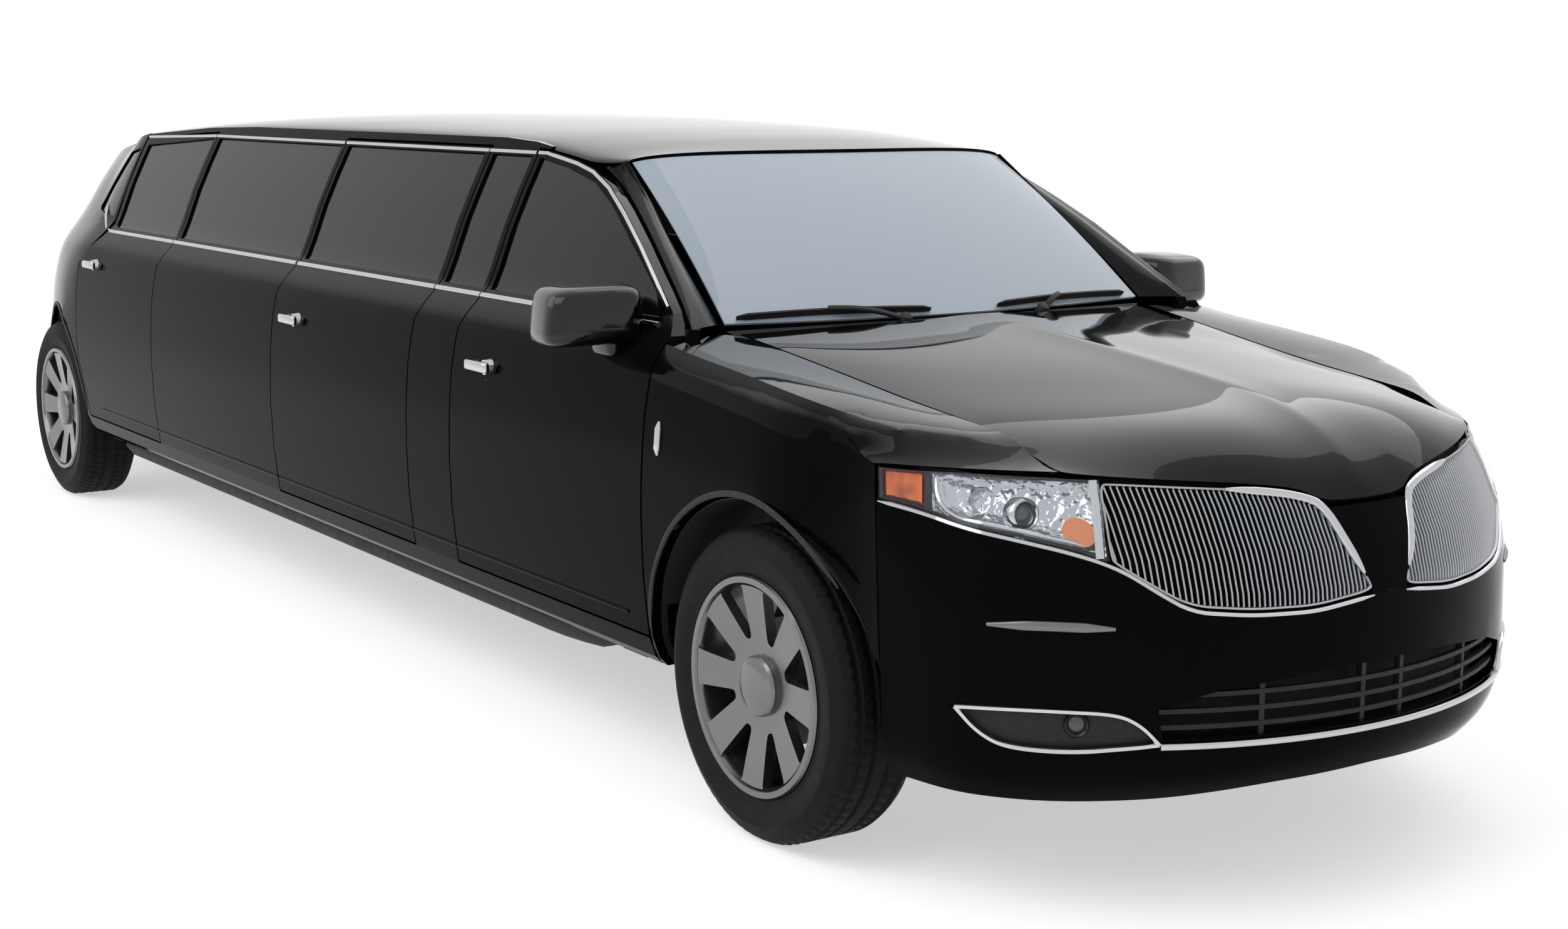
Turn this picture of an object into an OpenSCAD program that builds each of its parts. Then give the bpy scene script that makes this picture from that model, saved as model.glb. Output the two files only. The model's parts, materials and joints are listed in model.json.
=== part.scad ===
// Stretch limousine: hollow cabin, opening doors, hood and liftgate, steered front wheels
// X runs forward, Y to the left, Z up; the origin is on the ground at mid length

/* [Overall] */
// Distance between the axles
wheelbase = 5430; // [4900:10:6200]
// Front axle to the foremost point
front_overhang = 1055; // [950:5:1150]
// Rear axle to the rearmost point
rear_overhang = 1225; // [1100:5:1400]
// Width over the door skins
body_w = 1930; // [1860:2:2020]
// Height of the roof crest
roof_z = 1690; // [1660:2:1760]

/* [Levels] */
// Underside of the sills
sill_z = 325; // [290:1:345]
// Lower edge of the door openings
sill_top = 395; // [385:1:420]
// Lower edge of the side windows
belt_z = 1168; // [1160:1:1185]

/* [Doors] */
// Front axle back to the leading edge of the front door
front_door_set = 450; // [448:1:470]
// Length of the front door
front_door_len = 1062; // [1040:2:1100]
// Length of the fixed panel behind the front door
filler_len = 296; // [240:2:360]
// Length of the extra door on the right side
mid_door_len = 1067; // [980:2:1160]
// Rear axle forward to the leading edge of the rear door
rear_door_set = 1335; // [1280:5:1420]
// Gap around a door
door_gap = 7; // [7:0.5:10]
// Thickness of the outer part of a door below the window
door_skin = 40; // [36:1:44]
// Thickness of a window frame
frame_t = 26; // [22:1:28]
// Thickness of a whole door or side wall
wall_t = 90; // [80:1:100]
// Width of window frame left beside the glass
frame_w = 28; // [22:1:36]
// Thickness of the glass
glass_t = 6; // [4:0.5:8]

/* [Wheels] */
// Radius of a tyre
tyre_r = 371; // [360:1:378]
// Width of a tyre
tyre_w = 235; // [215:1:245]
// Radius of the rim's lip
rim_r = 257; // [245:1:262]
// Distance between the wheels of an axle, centre to centre
track = 1652; // [1636:2:1664]
// Radius of a wheel arch
arch_r = 430; // [424:1:434]
// Number of spokes of a wheel
spoke_count = 8; // [5:1:10]

/* [Front] */
// Number of upright bars in each half of the grille
grille_bars = 26; // [12:1:30]
// Width of a grille bar
bar_w = 7; // [5:0.5:12]
// Width of the rim around each half of the grille
grille_rim = 8; // [6:0.5:14]
// Thickness of the hood and fender panels
panel_t = 40; // [36:1:40]

/* [Hidden] */
$fn = 48;
seam = 0.3;
hw = body_w / 2;
total_len = wheelbase + front_overhang + rear_overhang;
xf = total_len / 2 - front_overhang;
xr = xf - wheelbase;
x_nose = total_len / 2;
x_tail = -total_len / 2;

// Heights above the belt and widths are drawn for the first sizes and stretch with the car
up_k = (roof_z - belt_z) / 522;
wide_k = body_w / 1930;
function up(z) = z > 1168 ? belt_z + (z - 1168) * up_k : z;
function raised(rows) = [for (r = rows) [r[0], up(r[1])]];
function across(rows) = [for (r = rows) [r[0] * wide_k, r[1]]];
rail_z = up(1540);

// Leading and trailing edges of the doors
fd1 = xf - front_door_set;
fd0 = fd1 - front_door_len;
md1 = fd0 - filler_len;
md0 = md1 - mid_door_len;
rd1 = xr + rear_door_set;
rd0 = xr + 400;
door_lo = sill_top + door_gap;

// Height of the side skin against how far it stands in from the widest line
side_rows = [
  [sill_z, 62], [sill_z + 20, 42], [sill_z + 75, 22], [480, 13], [560, 5], [620, 3], [700, 0],
  [800, 2], [870, 6], [940, 12], [980, 18], [1030, 27], [1070, 37], [1107, 64], [1135, 90],
  [belt_z - 8, 113], [belt_z + 12, 130], [up(1228), 152], [up(1345), 197], [up(1444), 243],
  [rail_z, 291], [up(1560), 301], [up(1590), 317], [up(1630), 345]];

function lerp(a, b, t) = a + (b - a) * t;
function clamp01(t) = max(0, min(1, t));
function smooth(t) = let(c = clamp01(t)) c * c * (3 - 2 * c);
function inset(z) = lookup(z, side_rows);
function side_y(z) = hw - inset(z);
function skin_t(z) = lookup(z, [[belt_z - 20, door_skin], [belt_z + 12, frame_t]]);
function deep_t(z) = lookup(z, [[belt_z - 60, wall_t], [belt_z + 12, 58]]);
function levels(lo, hi) = concat([lo], [for (r = side_rows) if (r[0] > lo + 1 && r[0] < hi - 1) r[0]], [hi]);
function back(list) = [for (i = [len(list) - 1:-1:0]) list[i]];
function steps(a, b, n) = [for (i = [0:n]) lerp(a, b, i / n)];
function unit(v) = v / norm(v);

module x_prism(x0, x1) translate([x0, 0, 0]) rotate([90, 0, 90]) linear_extrude(x1 - x0) children();
module y_prism(y0, y1) translate([0, y1, 0]) rotate([90, 0, 0]) linear_extrude(y1 - y0) children();
module box(a, b) translate(a) cube(b - a);
module both_sides() {
  children();
  mirror([0, 1, 0]) children();
}

// Band of the side wall between two depths below the skin
module wall_band(lo, hi, d0, d1) {
  zs = levels(lo, hi);
  polygon(concat([for (z = zs) [side_y(z) - d0(z), z]], [for (z = back(zs)) [side_y(z) - d1(z), z]]));
}

// Closed shell between two depths below a surface given by a function of two values
module shell(us, vs, f, t0, t1) {
  e = 0.004;
  normal = function(u, v) unit(cross(f(u + e, v) - f(u - e, v), f(u, v + e) - f(u, v - e)));
  slab(us, vs, function(u, v) f(u, v) - t0 * normal(u, v), function(u, v) f(u, v) - t1 * normal(u, v));
}

// Closed slab between an upper and a lower surface, both functions of the same two values
module slab(us, vs, f, g) {
  n = len(us);
  m = len(vs);
  o = n * m;
  faces = concat(
    [for (i = [0:n - 2], j = [0:m - 2]) let(a = i * m + j, b = a + m, c = b + 1, d = a + 1)
      each [[a, d, c], [a, c, b], [o + a, o + b, o + c], [o + a, o + c, o + d]]],
    [for (i = [0:n - 2]) let(a = i * m, b = a + m, d = a + m - 1, c = b + m - 1)
      each [[a, b, o + b], [a, o + b, o + a], [c, d, o + d], [c, o + d, o + c]]],
    [for (j = [0:m - 2]) let(a = j, d = j + 1, b = (n - 1) * m + j, c = b + 1)
      each [[d, a, o + a], [d, o + a, o + d], [b, c, o + c], [b, o + c, o + b]]]);
  polyhedron(concat([for (u = us, v = vs) f(u, v)], [for (u = us, v = vs) g(u, v)]), faces);
}

// Edge of the roof along the car: behind the front axle, height
rail_rows_front = raised([[-1060, 1546], [-1152, 1532], [-1255, 1548], [-1354, 1560], [-1434, 1569],
  [-1620, 1590]]);
rail_rows_rear = raised([[1500, 1590], [1258, 1582], [930, 1564], [560, 1546], [360, 1522], [130, 1495],
  [-170, 1462], [-474, 1435]]);
function rail_top(x) = x > (xf + xr) / 2
  ? lookup(x - xf, back(rail_rows_front)) : lookup(x - xr, back(rail_rows_rear));

// Upper edge of the windscreen pillar seen from the side
pillar_rows = raised([[-430, 1150], [-513, 1197], [-638, 1271], [-765, 1349], [-901, 1421], [-1035, 1484],
  [-1152, 1522], [-1255, 1541], [-1354, 1553], [-1434, 1562]]);

// Outline of a door seen from the side
module front_door_outline() {
  polygon(concat([[fd1, door_lo]],
    [[fd1, 1136]], [for (r = pillar_rows) if (r[0] < -500) [min(fd1, xf + r[0]), r[1] - 8]],
    [[fd0 + 7, up(1556)], [fd0 + 7, belt_z + 10], [fd0 + 4, 1140], [fd0, 1040], [fd0, door_lo]]));
}
module mid_door_outline() {
  polygon([[md1, door_lo], [md1, up(1558)], [md0 + 7, up(1558)], [md0 + 7, belt_z + 10],
    [md0 + 4, 1140], [md0, 1040], [md0, door_lo]]);
}
module rear_door_outline() {
  difference() {
    polygon([[rd1, door_lo], [rd1, up(1558)], [xr + 560, up(1524)], [xr + 556, belt_z + 20],
      [xr + 530, 1140], [rd0, 1010], [rd0, door_lo]]);
    translate([xr, tyre_r + 15]) circle(arch_r + 42, $fn = 48);
  }
}

// Outline of the glass of a door or fixed panel seen from the side
front_glass_rows = raised([[-731, 1292], [-857, 1361], [-993, 1430], [-1119, 1479], [-1329, 1518]]);
module front_glass_outline() {
  polygon(concat([[fd1 - 110, belt_z + 4]], [[xf - 625, up(1232)]],
    [for (r = front_glass_rows) [xf + r[0], r[1]]],
    [[fd0 + frame_w, rail_z - 4], [fd0 + frame_w, belt_z + 4]]));
}
module plain_glass_outline(x0, x1, top) {
  polygon([[x1, belt_z + 4], [x1, top], [x0, top], [x0, belt_z + 4]]);
}
module rear_glass_outline() {
  polygon([[rd1 - frame_w, belt_z + 4], [rd1 - frame_w, rail_z], [xr + 600, up(1500)], [xr + 590, belt_z + 14],
    [xr + 610, belt_z + 4]]);
}

// Door of the left side: outer part with the window frame, inner part set in behind it
module door_solid(x0, x1) {
  no = function(z) 0;
  sk = function(z) skin_t(z);
  dp = function(z) deep_t(z);
  intersection() {
    x_prism(x0 - 30, x1 + 30) wall_band(door_lo - 5, rail_z + 40, no, sk);
    y_prism(0, hw + 60) children(0);
  }
  intersection() {
    x_prism(x0 - 30, x1 + 30) wall_band(door_lo + 20, belt_z - 30, sk, dp);
    y_prism(0, hw + 60) offset(delta = -26) children(0);
  }
}
module handle(x, z) {
  y = side_y(z);
  y_prism(y - 4, y + 14) translate([x, z]) circle(20, $fn = 24);
  translate([x - 92, y + 14, z - 12]) cube([112, 14, 24]);
  y_prism(y - 4, y + 14) translate([x - 80, z]) circle(10, $fn = 24);
}
module glass_pane(x0, x1) {
  d0 = function(z) 8;
  d1 = function(z) 8 + glass_t;
  intersection() {
    x_prism(x0 - 20, x1 + 20) wall_band(belt_z - 5, rail_z + 10, d0, d1);
    y_prism(0, hw) offset(delta = -seam) children();
  }
}

module front_door() {
  difference() {
    door_solid(fd0, fd1) front_door_outline();
    y_prism(0, hw + 60) front_glass_outline();
  }
  handle(fd0 + 225, 980);
}
module rear_door() {
  difference() {
    door_solid(rd0, rd1) rear_door_outline();
    y_prism(0, hw + 60) rear_glass_outline();
  }
  handle(rd0 + 230, 1026);
}
module mirror_head() {
  // Door mirror: housing rounded in three views, on a foot
  translate([fd1 - 318, side_y(1150) + 22, 1092]) {
    rotate([0, 0, 12]) difference() {
      intersection() {
        x_prism(0, 150) polygon([[0, 22], [6, 8], [24, 0], [120, 3], [158, 10], [174, 26], [180, 58],
          [176, 100], [163, 124], [140, 136], [60, 142], [22, 136], [4, 116]]);
        translate([0, 0, -1]) linear_extrude(150) polygon([[0, 0], [142, 0], [150, 30], [146, 90], [130, 136],
          [98, 166], [52, 180], [0, 180]]);
        y_prism(-1, 190) polygon([[0, 0], [110, 0], [140, 20], [150, 56], [144, 92], [120, 122], [76, 140],
          [0, 142]]);
      }
      x_prism(-1, 13) offset(delta = -10) polygon([[0, 22], [24, 0], [158, 10], [180, 58], [163, 124],
        [60, 142], [4, 116]]);
    }
    translate([50, -62, 4]) cube([80, 84, 36]);
  }
}
module door_front_left() color("#0c0d0f") front_door();
module door_front_right() color("#0c0d0f") mirror([0, 1, 0]) front_door();
module door_mid_right() color("#0c0d0f") mirror([0, 1, 0]) {
  difference() {
    door_solid(md0, md1) mid_door_outline();
    y_prism(0, hw + 60) plain_glass_outline(md0 + frame_w, md1 - frame_w, rail_z);
  }
  handle(md0 + 210, 990);
}
module door_rear_left() color("#0c0d0f") rear_door();
module door_rear_right() color("#0c0d0f") mirror([0, 1, 0]) rear_door();

module glass_front_left() color("#1b2124") glass_pane(fd0, fd1) front_glass_outline();
module glass_front_right() color("#1b2124") mirror([0, 1, 0]) glass_pane(fd0, fd1) front_glass_outline();
module glass_mid_right() color("#14181a") mirror([0, 1, 0])
  glass_pane(md0, md1) plain_glass_outline(md0 + frame_w, md1 - frame_w, rail_z);
module glass_rear_left() color("#14181a") glass_pane(rd0, rd1) rear_glass_outline();
module glass_rear_right() color("#14181a") mirror([0, 1, 0]) glass_pane(rd0, rd1) rear_glass_outline();
module mirror_left() color("#0c0d0f") difference() {
  mirror_head();
  door_keep_out();
}
module mirror_right() color("#0c0d0f") mirror([0, 1, 0]) difference() {
  mirror_head();
  door_keep_out();
}
// Space that the front door takes up beside its mirror
module door_keep_out() {
  no = function(z) -seam;
  dp = function(z) 200;
  x_prism(fd0, fd1) wall_band(1000, 1300, no, dp);
}

// Tail: how far the rear surface leans forward at a height
tail_rows = [[250, 110], [330, 40], [420, 5], [560, 0], [690, 15], [760, 45], [900, 75], [1065, 155],
  [1130, 195], [up(1200), 235], [up(1320), 330], [up(1435), 470], [up(1450), 490], [up(1505), 650],
  [up(1560), 800]];
tail_start = 180;
tail_a = rear_overhang + tail_start;
function tail_lean(z) = lookup(z, tail_rows);
function tail_k(s) = 1 - 0.34 * pow(s, 1.2);
function tail_w(s) = pow(max(0, 1 - pow(s, 4)), 0.25);
// Point of the tail by its plan position s, 0 at the right side, 1 at the middle and 2 at the left side
function tail_p(s, z) = let(q = s > 1 ? 2 - s : s, sgn = s > 1 ? 1 : -1)
  [xr + tail_start + tail_lean(z) - tail_a * q, sgn * side_y(z) * tail_k(q) * tail_w(q), z];
function tail_s_x(x, z) = clamp01((xr + tail_start + tail_lean(z) - x) / tail_a)
  * smooth((xr + 570 - x) / 420);
// Point of the rear quarter on the left by station x and height
function quarter_p(x, z) = let(s = tail_s_x(x, z)) [x, side_y(z) * tail_k(s) * tail_w(s), z];
gate_s = 0.8;

// Front face of the hinge post
post_x = fd1 + 38;

// Rear quarter of the left side
quarter_z = 690;
module quarter() {
  // Columns run from the liftgate's edge to the rear door
  f = function(v, q) let(zq = lerp(quarter_z + seam, up(1435), v),
      xe = xr + tail_start + tail_lean(zq) - tail_a * gate_s + door_gap,
      x = lerp(xe, xr + 569, q))
    quarter_p(x, lerp(quarter_z + seam, rail_top(x) - seam, v));
  difference() {
    shell(steps(0, 1, 10), [0, 0.07, 0.15, 0.24, 0.34, 0.44, 0.54, 0.64, 0.74, 0.84, 0.92, 1], f, 0, 55);
    rear_door_pocket();
    y_prism(0, hw + 80) quarter_outline();
    arch(xr);
  }
}
module quarters() color("#0c0d0f") both_sides() quarter();

module body_region() {
  polygon(concat([[xr + 380, sill_z], [post_x, sill_z], [post_x, 1060]],
    [[fd1 + 6, 1060], [fd1 + 6, 1150 - seam], [fd1 - 40, 1150 - seam], [fd1 - 80, 900]],
    [[xf - 1440, up(1400)], [xf - 1444, rail_step(xf - 1444)]],
    [for (r = back(rail_steps)) if (r[0] < xf - 1450 && r[0] > xr + 580) [r[0], rail_step(r[0])]],
    [[xr + 570, rail_step(xr + 570)], [xr + 570, quarter_z], [xr + 380, quarter_z]]));
}
module door_pocket(x0, x1) {
  out = function(z) -60;
  sk = function(z) skin_t(z) + seam;
  intersection() {
    x_prism(x0 - 60, x1 + 60) wall_band(door_lo - 30, rail_z + 60, out, sk);
    y_prism(0, hw + 80) children(0);
  }
  y_prism(0, hw + 80) offset(delta = -16) children(1);
}
module pillar_front() {
  // Front face of the windscreen pillar, inboard of the door's window frame
  rows = concat([[-447, 1150]], [for (r = pillar_rows) if (r[0] < -500 && r[0] > -1200) r]);
  n = len(rows) - 1;
  f = function(i, j) let(q = i / n, z = rows[i][1],
      a = [xf + rows[i][0], side_y(z) - skin_t(z) - 6, z],
      b = [xf + lerp(-506, -1054, q), lerp(706, 640, q) * wide_k, i == 0 ? z : lerp(1160, up(1538), q)])
    a + (b - a) * j + (i == 0 ? [0, 0, 0] : [0.3, 0.2, 1] * 20 * 4 * j * (1 - j) * (1 - q));
  g = function(i, j) f(i, j) + (i == 0 ? [-34, 0, 0] : [-16, 0, -26]);
  slab([for (i = [0:n]) i], [0, 0.25, 0.5, 0.75, 1], g, f);
}
module pillars() color("#0c0d0f") both_sides() pillar_front();
module body_side(with_mid) {
  no = function(z) 0;
  dp = function(z) deep_t(z);
  out = function(z) -60;
  sk = function(z) door_skin + 1.2;
  difference() {
    union() {
      intersection() {
        x_prism(xr + 380, post_x) wall_band(sill_z, rail_z + 60, no, dp);
        y_prism(0, hw + 60) body_region();
      }
      x_prism(xr + 100, xr + 380) wall_band(sill_z, quarter_z, no, dp);
      // Jacking pads
      for (x = [xf - 620, xr + 620])
        box([x - 60, side_y(sill_z) - 70, sill_z - 12], [x + 60, side_y(sill_z) - 20, sill_z + 5]);
    }
    door_pocket(fd0, fd1) {
      union() {
        offset(delta = door_gap) front_door_outline();
        polygon(concat([[fd1 + 6, 1100], [fd1 + 6, 1180]],
          [for (r = pillar_rows) if (r[0] < -500) [xf + r[0], r[1] + 40]], [[fd0 + 200, up(1500)]]));
      }
      front_door_outline();
    }
    if (with_mid) door_pocket(md0, md1) {
      offset(delta = door_gap) mid_door_outline();
      mid_door_outline();
    }
    rear_door_pocket();
    // Seat of the fender ahead of the door
    intersection() {
      x_prism(fd1 - 2, fd1 + 60) wall_band(sill_z - 20, 1180, out, sk);
      y_prism(0, hw + 80) translate([fd1 - 1, sill_z - 20]) square([60, 1150 - sill_z]);
    }
    // Windows of the fixed panels
    y_prism(0, hw + 80) filler_outline();
    y_prism(0, hw + 80) fixed_outline(with_mid);
    arch(xr);
  }
}
module arch(x) y_prism(0, hw + 80) translate([x, tyre_r + 15]) circle(arch_r, $fn = 96);
module rear_door_pocket() door_pocket(rd0, rd1) {
  union() {
    offset(delta = door_gap) rear_door_outline();
    translate([-12, 0]) offset(delta = door_gap) intersection() {
      rear_door_outline();
      translate([xr - 100, 1090]) square([rear_door_set, 600]);
    }
  }
  rear_door_outline();
}
module filler_outline() plain_glass_outline(md1 + 26, fd0 - 24, rail_z);
module fixed_outline(with_mid) plain_glass_outline(rd1 + frame_w, (with_mid ? md0 : md1) - 24, rail_z);
module quarter_outline() {
  polygon([[xr + 505, up(1212)], [xr + 520, up(1486)], [xr + 380, up(1466)], [xr + 215, up(1240)],
    [xr + 240, up(1228)]]);
}
module fixed_glass(with_mid) {
  glass_pane(md1, fd0) filler_outline();
  glass_pane(rd1, md1) fixed_outline(with_mid);
  intersection() {
    quarter_glass_shell();
    y_prism(0, hw) offset(delta = -seam) quarter_outline();
  }
}
module quarter_glass_shell() {
  f = function(v, x) quarter_p(xr + x, lerp(up(1180), up(1510), v));
  shell(steps(0, 1, 5), [140, 220, 300, 380, 460, 540], f, 8, 8 + glass_t);
}

module body_side_left() color("#0c0d0f") body_side(false);
module body_side_right() color("#0c0d0f") mirror([0, 1, 0]) body_side(true);
module side_glass() color("#14181a") {
  fixed_glass(false);
  mirror([0, 1, 0]) fixed_glass(true);
}

// Roof: crest height along the car
crest_front = raised([[-985, 1592], [-1200, 1630], [-1500, 1662], [-2000, 1682], [-2600, 1690]]);
crest_rear = raised([[2400, 1690], [1930, 1686], [1430, 1664], [930, 1628], [430, 1585], [130, 1563],
  [-170, 1541], [-465, 1505], [-755, 1437]]);
function crest(x) = x > (xf + xr) / 2 ? lookup(x - xf, back(crest_front)) : lookup(x - xr, back(crest_rear));
function roof_edge(x) = let(z = rail_top(x))
  x > xf - 1640 ? lookup(x - xf, [[-1640, side_y(z)], [-1152, side_y(z)], [-1060, hood_hw]])
  : x < xr + 570 ? quarter_p(x, z)[1] : side_y(z);
roof_t = [0, 0.03, 0.07, 0.12, 0.17, 0.22, 0.28, 0.35, 0.45, 0.6, 0.72, 0.8, 0.86, 0.9, 0.93, 0.955, 0.975,
  0.99, 1];
// Upper edge of the side wall below the roof's own steps
rail_steps = [for (t = roof_t) let(x = lerp(xr - 472, xf - 1060, t)) [x, rail_top(x)]];
function rail_step(x) = lookup(x, rail_steps) - 2.4;
module roof() color("#0c0d0f") {
  f = function(t, k) let(
      x = lerp(xr - 746 + 274 * pow(abs(k), 3.7), xf - 985 - 75 * k * k, t),
      z = rail_top(x))
    [x, k * roof_edge(x), z + (crest(x) - z) * pow(max(0, 1 - pow(abs(k), 2.4)), 0.62)];
  g = function(t, k) let(p = f(t, k)) [p[0], p[1] - 60 * k * pow(abs(k), 6), max(p[2] - 30, rail_top(p[0]))];
  ks = [-1, -0.985, -0.95, -0.88, -0.76, -0.6, -0.4, -0.2];
  slab(roof_t, concat(ks, [0], -back(ks)), f, g);
}

// Windscreen between the pillars, the cowl and the roof
function screen_top(c) = let(x = xf - 985 - 75 * c * c, z = rail_top(x))
  [x + glass_t / 2 + seam, c * roof_edge(x), z - 10 + (crest(x) - z) * pow(1 - pow(abs(c), 2.4), 0.62)];
screen_c = [-0.985, -0.95, -0.88, -0.76, -0.6, -0.4, -0.2];
function screen_p(c, t) = lerp([xf - 402 - 100 * c * c, c * 698 * wide_k, 1152], screen_top(c), t)
  + [0.5, 0, 0.9] * 44 * t * (1 - t);
module windscreen() color("#9aa5a8") {
  f = function(t, c) screen_p(c, 1 - t);
  shell(steps(0, 1, 8), concat(screen_c, [0], -back(screen_c)), f, 0, glass_t);
}

// Hood and fenders: heights behind the front axle
hood_hw = 636 * wide_k;
hood_mid = [[-560, 1160], [-330, 1148], [0, 1117], [430, 1077], [724, 1041], [819, 1003], [910, 951],
  [985, 868]];
hood_edge_z = [[-580, 1147], [-330, 1117], [-164, 1093], [206, 1040], [537, 1005], [720, 968], [810, 944]];
hood_edge_y = [for (r = [[-580, 690], [0, 655], [430, 642], [720, 636], [810, 600]]) [r[0], r[1] * wide_k]];
nose_rows = [[230, 170], [275, 100], [318, 25], [390, 0], [560, 0], [697, 5], [780, 30], [870, 78], [960, 140]];
nose_set = front_overhang - 805;
function nose_lean(z) = lookup(z, nose_rows);
function nose_hw(z) = hw - 15 - 0.55 * nose_lean(z);
// How far the ends of the nose are drawn over to the line of the fender
bumper_end = 77;
function nose_end(z) = let(h = max(480, z))
  plan_y(nose_set + 805 * cos(bumper_end)) - inset(h) - nose_hw(h) * sin(bumper_end);
// Point of the nose by its plan angle and height
function nose_p(a, z, t = 0) = let(w = smooth((abs(a) - 58) / (bumper_end - 58)))
  [xf + nose_set + (805 - nose_lean(z) - t) * cos(a),
   (nose_hw(z) - t) * sin(a) + sign(a) * w * nose_end(z), z];
function nose_a(y, z) = asin(max(-1, min(1, y / nose_hw(z))));
hood_lip = across([[0, 868], [126, 870], [164, 897], [277, 915], [409, 925], [570, 937], [640, 944]]);
function hood_front(y) = let(z = lookup(abs(y), hood_lip)) nose_p(nose_a(y, z), z);
module hood() color("#0c0d0f") {
  f = function(t, k) let(
      y1 = k * hood_hw,
      tip = hood_front(y1),
      x0 = xf - 332 - 110 * k * k,
      x = lerp(x0, tip[0] - 4, clamp01(t)),
      q = clamp01(t),
      xm = xf + lerp(-332, 985, q),
      xe = xf + lerp(-442, 714, q),
      zm = lookup(xm - xf, hood_mid),
      ze = lookup(xe - xf, hood_edge_z),
      ye = lookup(x - xf, hood_edge_y) - 4,
      z = lerp(zm, ze, pow(abs(k), 2.2)) + 7 * pow(max(0, 1 - pow(abs(k) / 0.24, 4)), 1) * (1 - q),
      zf = lerp(lookup(985, hood_mid), lookup(714, hood_edge_z), pow(abs(k), 2.2)),
      dz = tip[2] + 3 - zf)
    [x + (t - q) * 1300, lerp(k * ye, tip[1], smooth((q - 0.7) / 0.3)), z + dz * smooth((q - 0.72) / 0.28)];
  ts = [0, 0.12, 0.26, 0.4, 0.52, 0.62, 0.7, 0.76, 0.82, 0.87, 0.91, 0.95, 0.98, 1];
  ks = [-1, -0.92, -0.8, -0.64, -0.5, -0.36, -0.26, -0.2, -0.1];
  slab(ts, concat(ks, [0], -back(ks)), f, function(u, v) let(p = f(u, v))
    [p[0] - 22 * smooth((u - 0.6) / 0.4), p[1] * 0.985, p[2] - lerp(26, 5, smooth((u - 0.8) / 0.2))]);
}
// Fender section: rows 0 to 4 from the hood edge to the crest, then down the side
crest_rows = [[-450, 1120], [-377, 1109], [-81, 1081], [166, 1052], [395, 1010], [587, 967]];
fender_low = [[1120, 76], [1107, 64], [1088, 48], [1070, 37], [1030, 27], [980, 18], [940, 12], [870, 6],
  [800, 2], [700, 0], [620, 3], [560, 5], [480, 13], [400, 22], [345, 42], [325, 62]];
function plan_y(u) = u < 100 ? hw : hw * sqrt(max(0, 1 - pow((u - 100) / 887, 2)));
// Front edge of each row: along the top of the lamp, then down beside it
fender_a = [47, 53, 59, 65, 70, 73, 75.5];
function fender_tip(j) = j < len(fender_a) ? nose_p(fender_a[j], 947, 6)
  : let(r = fender_low[j - 4][0]) nose_p(bumper_end, r > 700 ? 700 + 245 * (r - 700) / 370 : r) - [4, 0, 0];
function fender_p(j, t) = let(
    tip = fender_tip(j),
    u = lerp(-front_door_set + door_gap, tip[0] - xf, t),
    zc = lookup(u, crest_rows),
    q = j / 4,
    r = fender_low[max(0, j - 4)],
    y = j < 4 ? lerp(lookup(u, hood_edge_y) + 4, plan_y(u) - 76, q) : plan_y(u) - r[1],
    z = j < 4 ? lerp(lookup(u, hood_edge_z), zc, q) + 24 * q * (1 - q)
      : r[0] > 700 ? 700 + (zc - 700) * (r[0] - 700) / 420 : r[0])
  [xf + u, lerp(y, tip[1], smooth((t - 0.6) / 0.4)), lerp(z, tip[2], smooth((t - 0.86) / 0.14))];
module fender() {
  ts = [0, 0.12, 0.25, 0.38, 0.5, 0.6, 0.7, 0.78, 0.84, 0.88, 0.92, 0.96, 1];
  g = function(j, t) let(p = fender_p(j, t))
    [p[0] - 12 * t, p[1] - (j < 4 ? 0 : j < 9 ? panel_t * (j - 3) / 6 : panel_t),
     p[2] - (j < 9 ? lerp(panel_t, 6, smooth((t - 0.7) / 0.3)) * (9 - j) / 9 : 0)];
  difference() {
    slab([for (j = [0:19]) j], ts, g, function(j, t) fender_p(j, t));
    arch(xf);
    box([xf + 200, 0, 200], [xf + 500, hw + 80, 520]);
  }
}
module fenders() color("#0c0d0f") both_sides() fender();

// Front bumper: upper and lower edge against the distance from the middle
bumper_hi = across([[0, 684], [58, 682], [209, 664], [351, 666], [478, 679], [541, 721], [601, 766], [673, 794],
  [761, 817], [837, 835], [894, 864], [950, 880]]);
bumper_lo = across([[0, 300], [283, 286], [508, 258], [715, 248], [950, 262]]);
fog_pts = across([[841, 460], [736, 466], [608, 463], [565, 439], [530, 396], [686, 378], [776, 383],
  [811, 410]]);
mouth_pts = across([[-520, 404], [-538, 470], [-420, 506], [-200, 530], [0, 536], [200, 530], [420, 506],
  [538, 470], [520, 404]]);
// Plan angles that the bumper and the lamps share
end_a = [44, 50, 56, 60, 64, 68, 72, 75, bumper_end];
module front_bumper() color("#0c0d0f") {
  half = concat([4, 8, 12, 17, 22, 27, 31, 35, 39], end_a);
  f = function(a, v) let(y = abs((hw - 15) * sin(a)))
    [a, lerp(lookup(y, bumper_lo), lookup(y, bumper_hi), v)];
  difference() {
    nose_slab(concat(-back(half), [0], half), [0, 0.1, 0.22, 0.4, 0.55, 0.7, 0.85, 1], f, 0, 34);
    x_prism(xf + 300, x_nose + 50) both_halves() polygon(fog_pts);
    x_prism(xf + 300, x_nose + 50) polygon(mouth_pts);
  }
  mullion();
}
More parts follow.
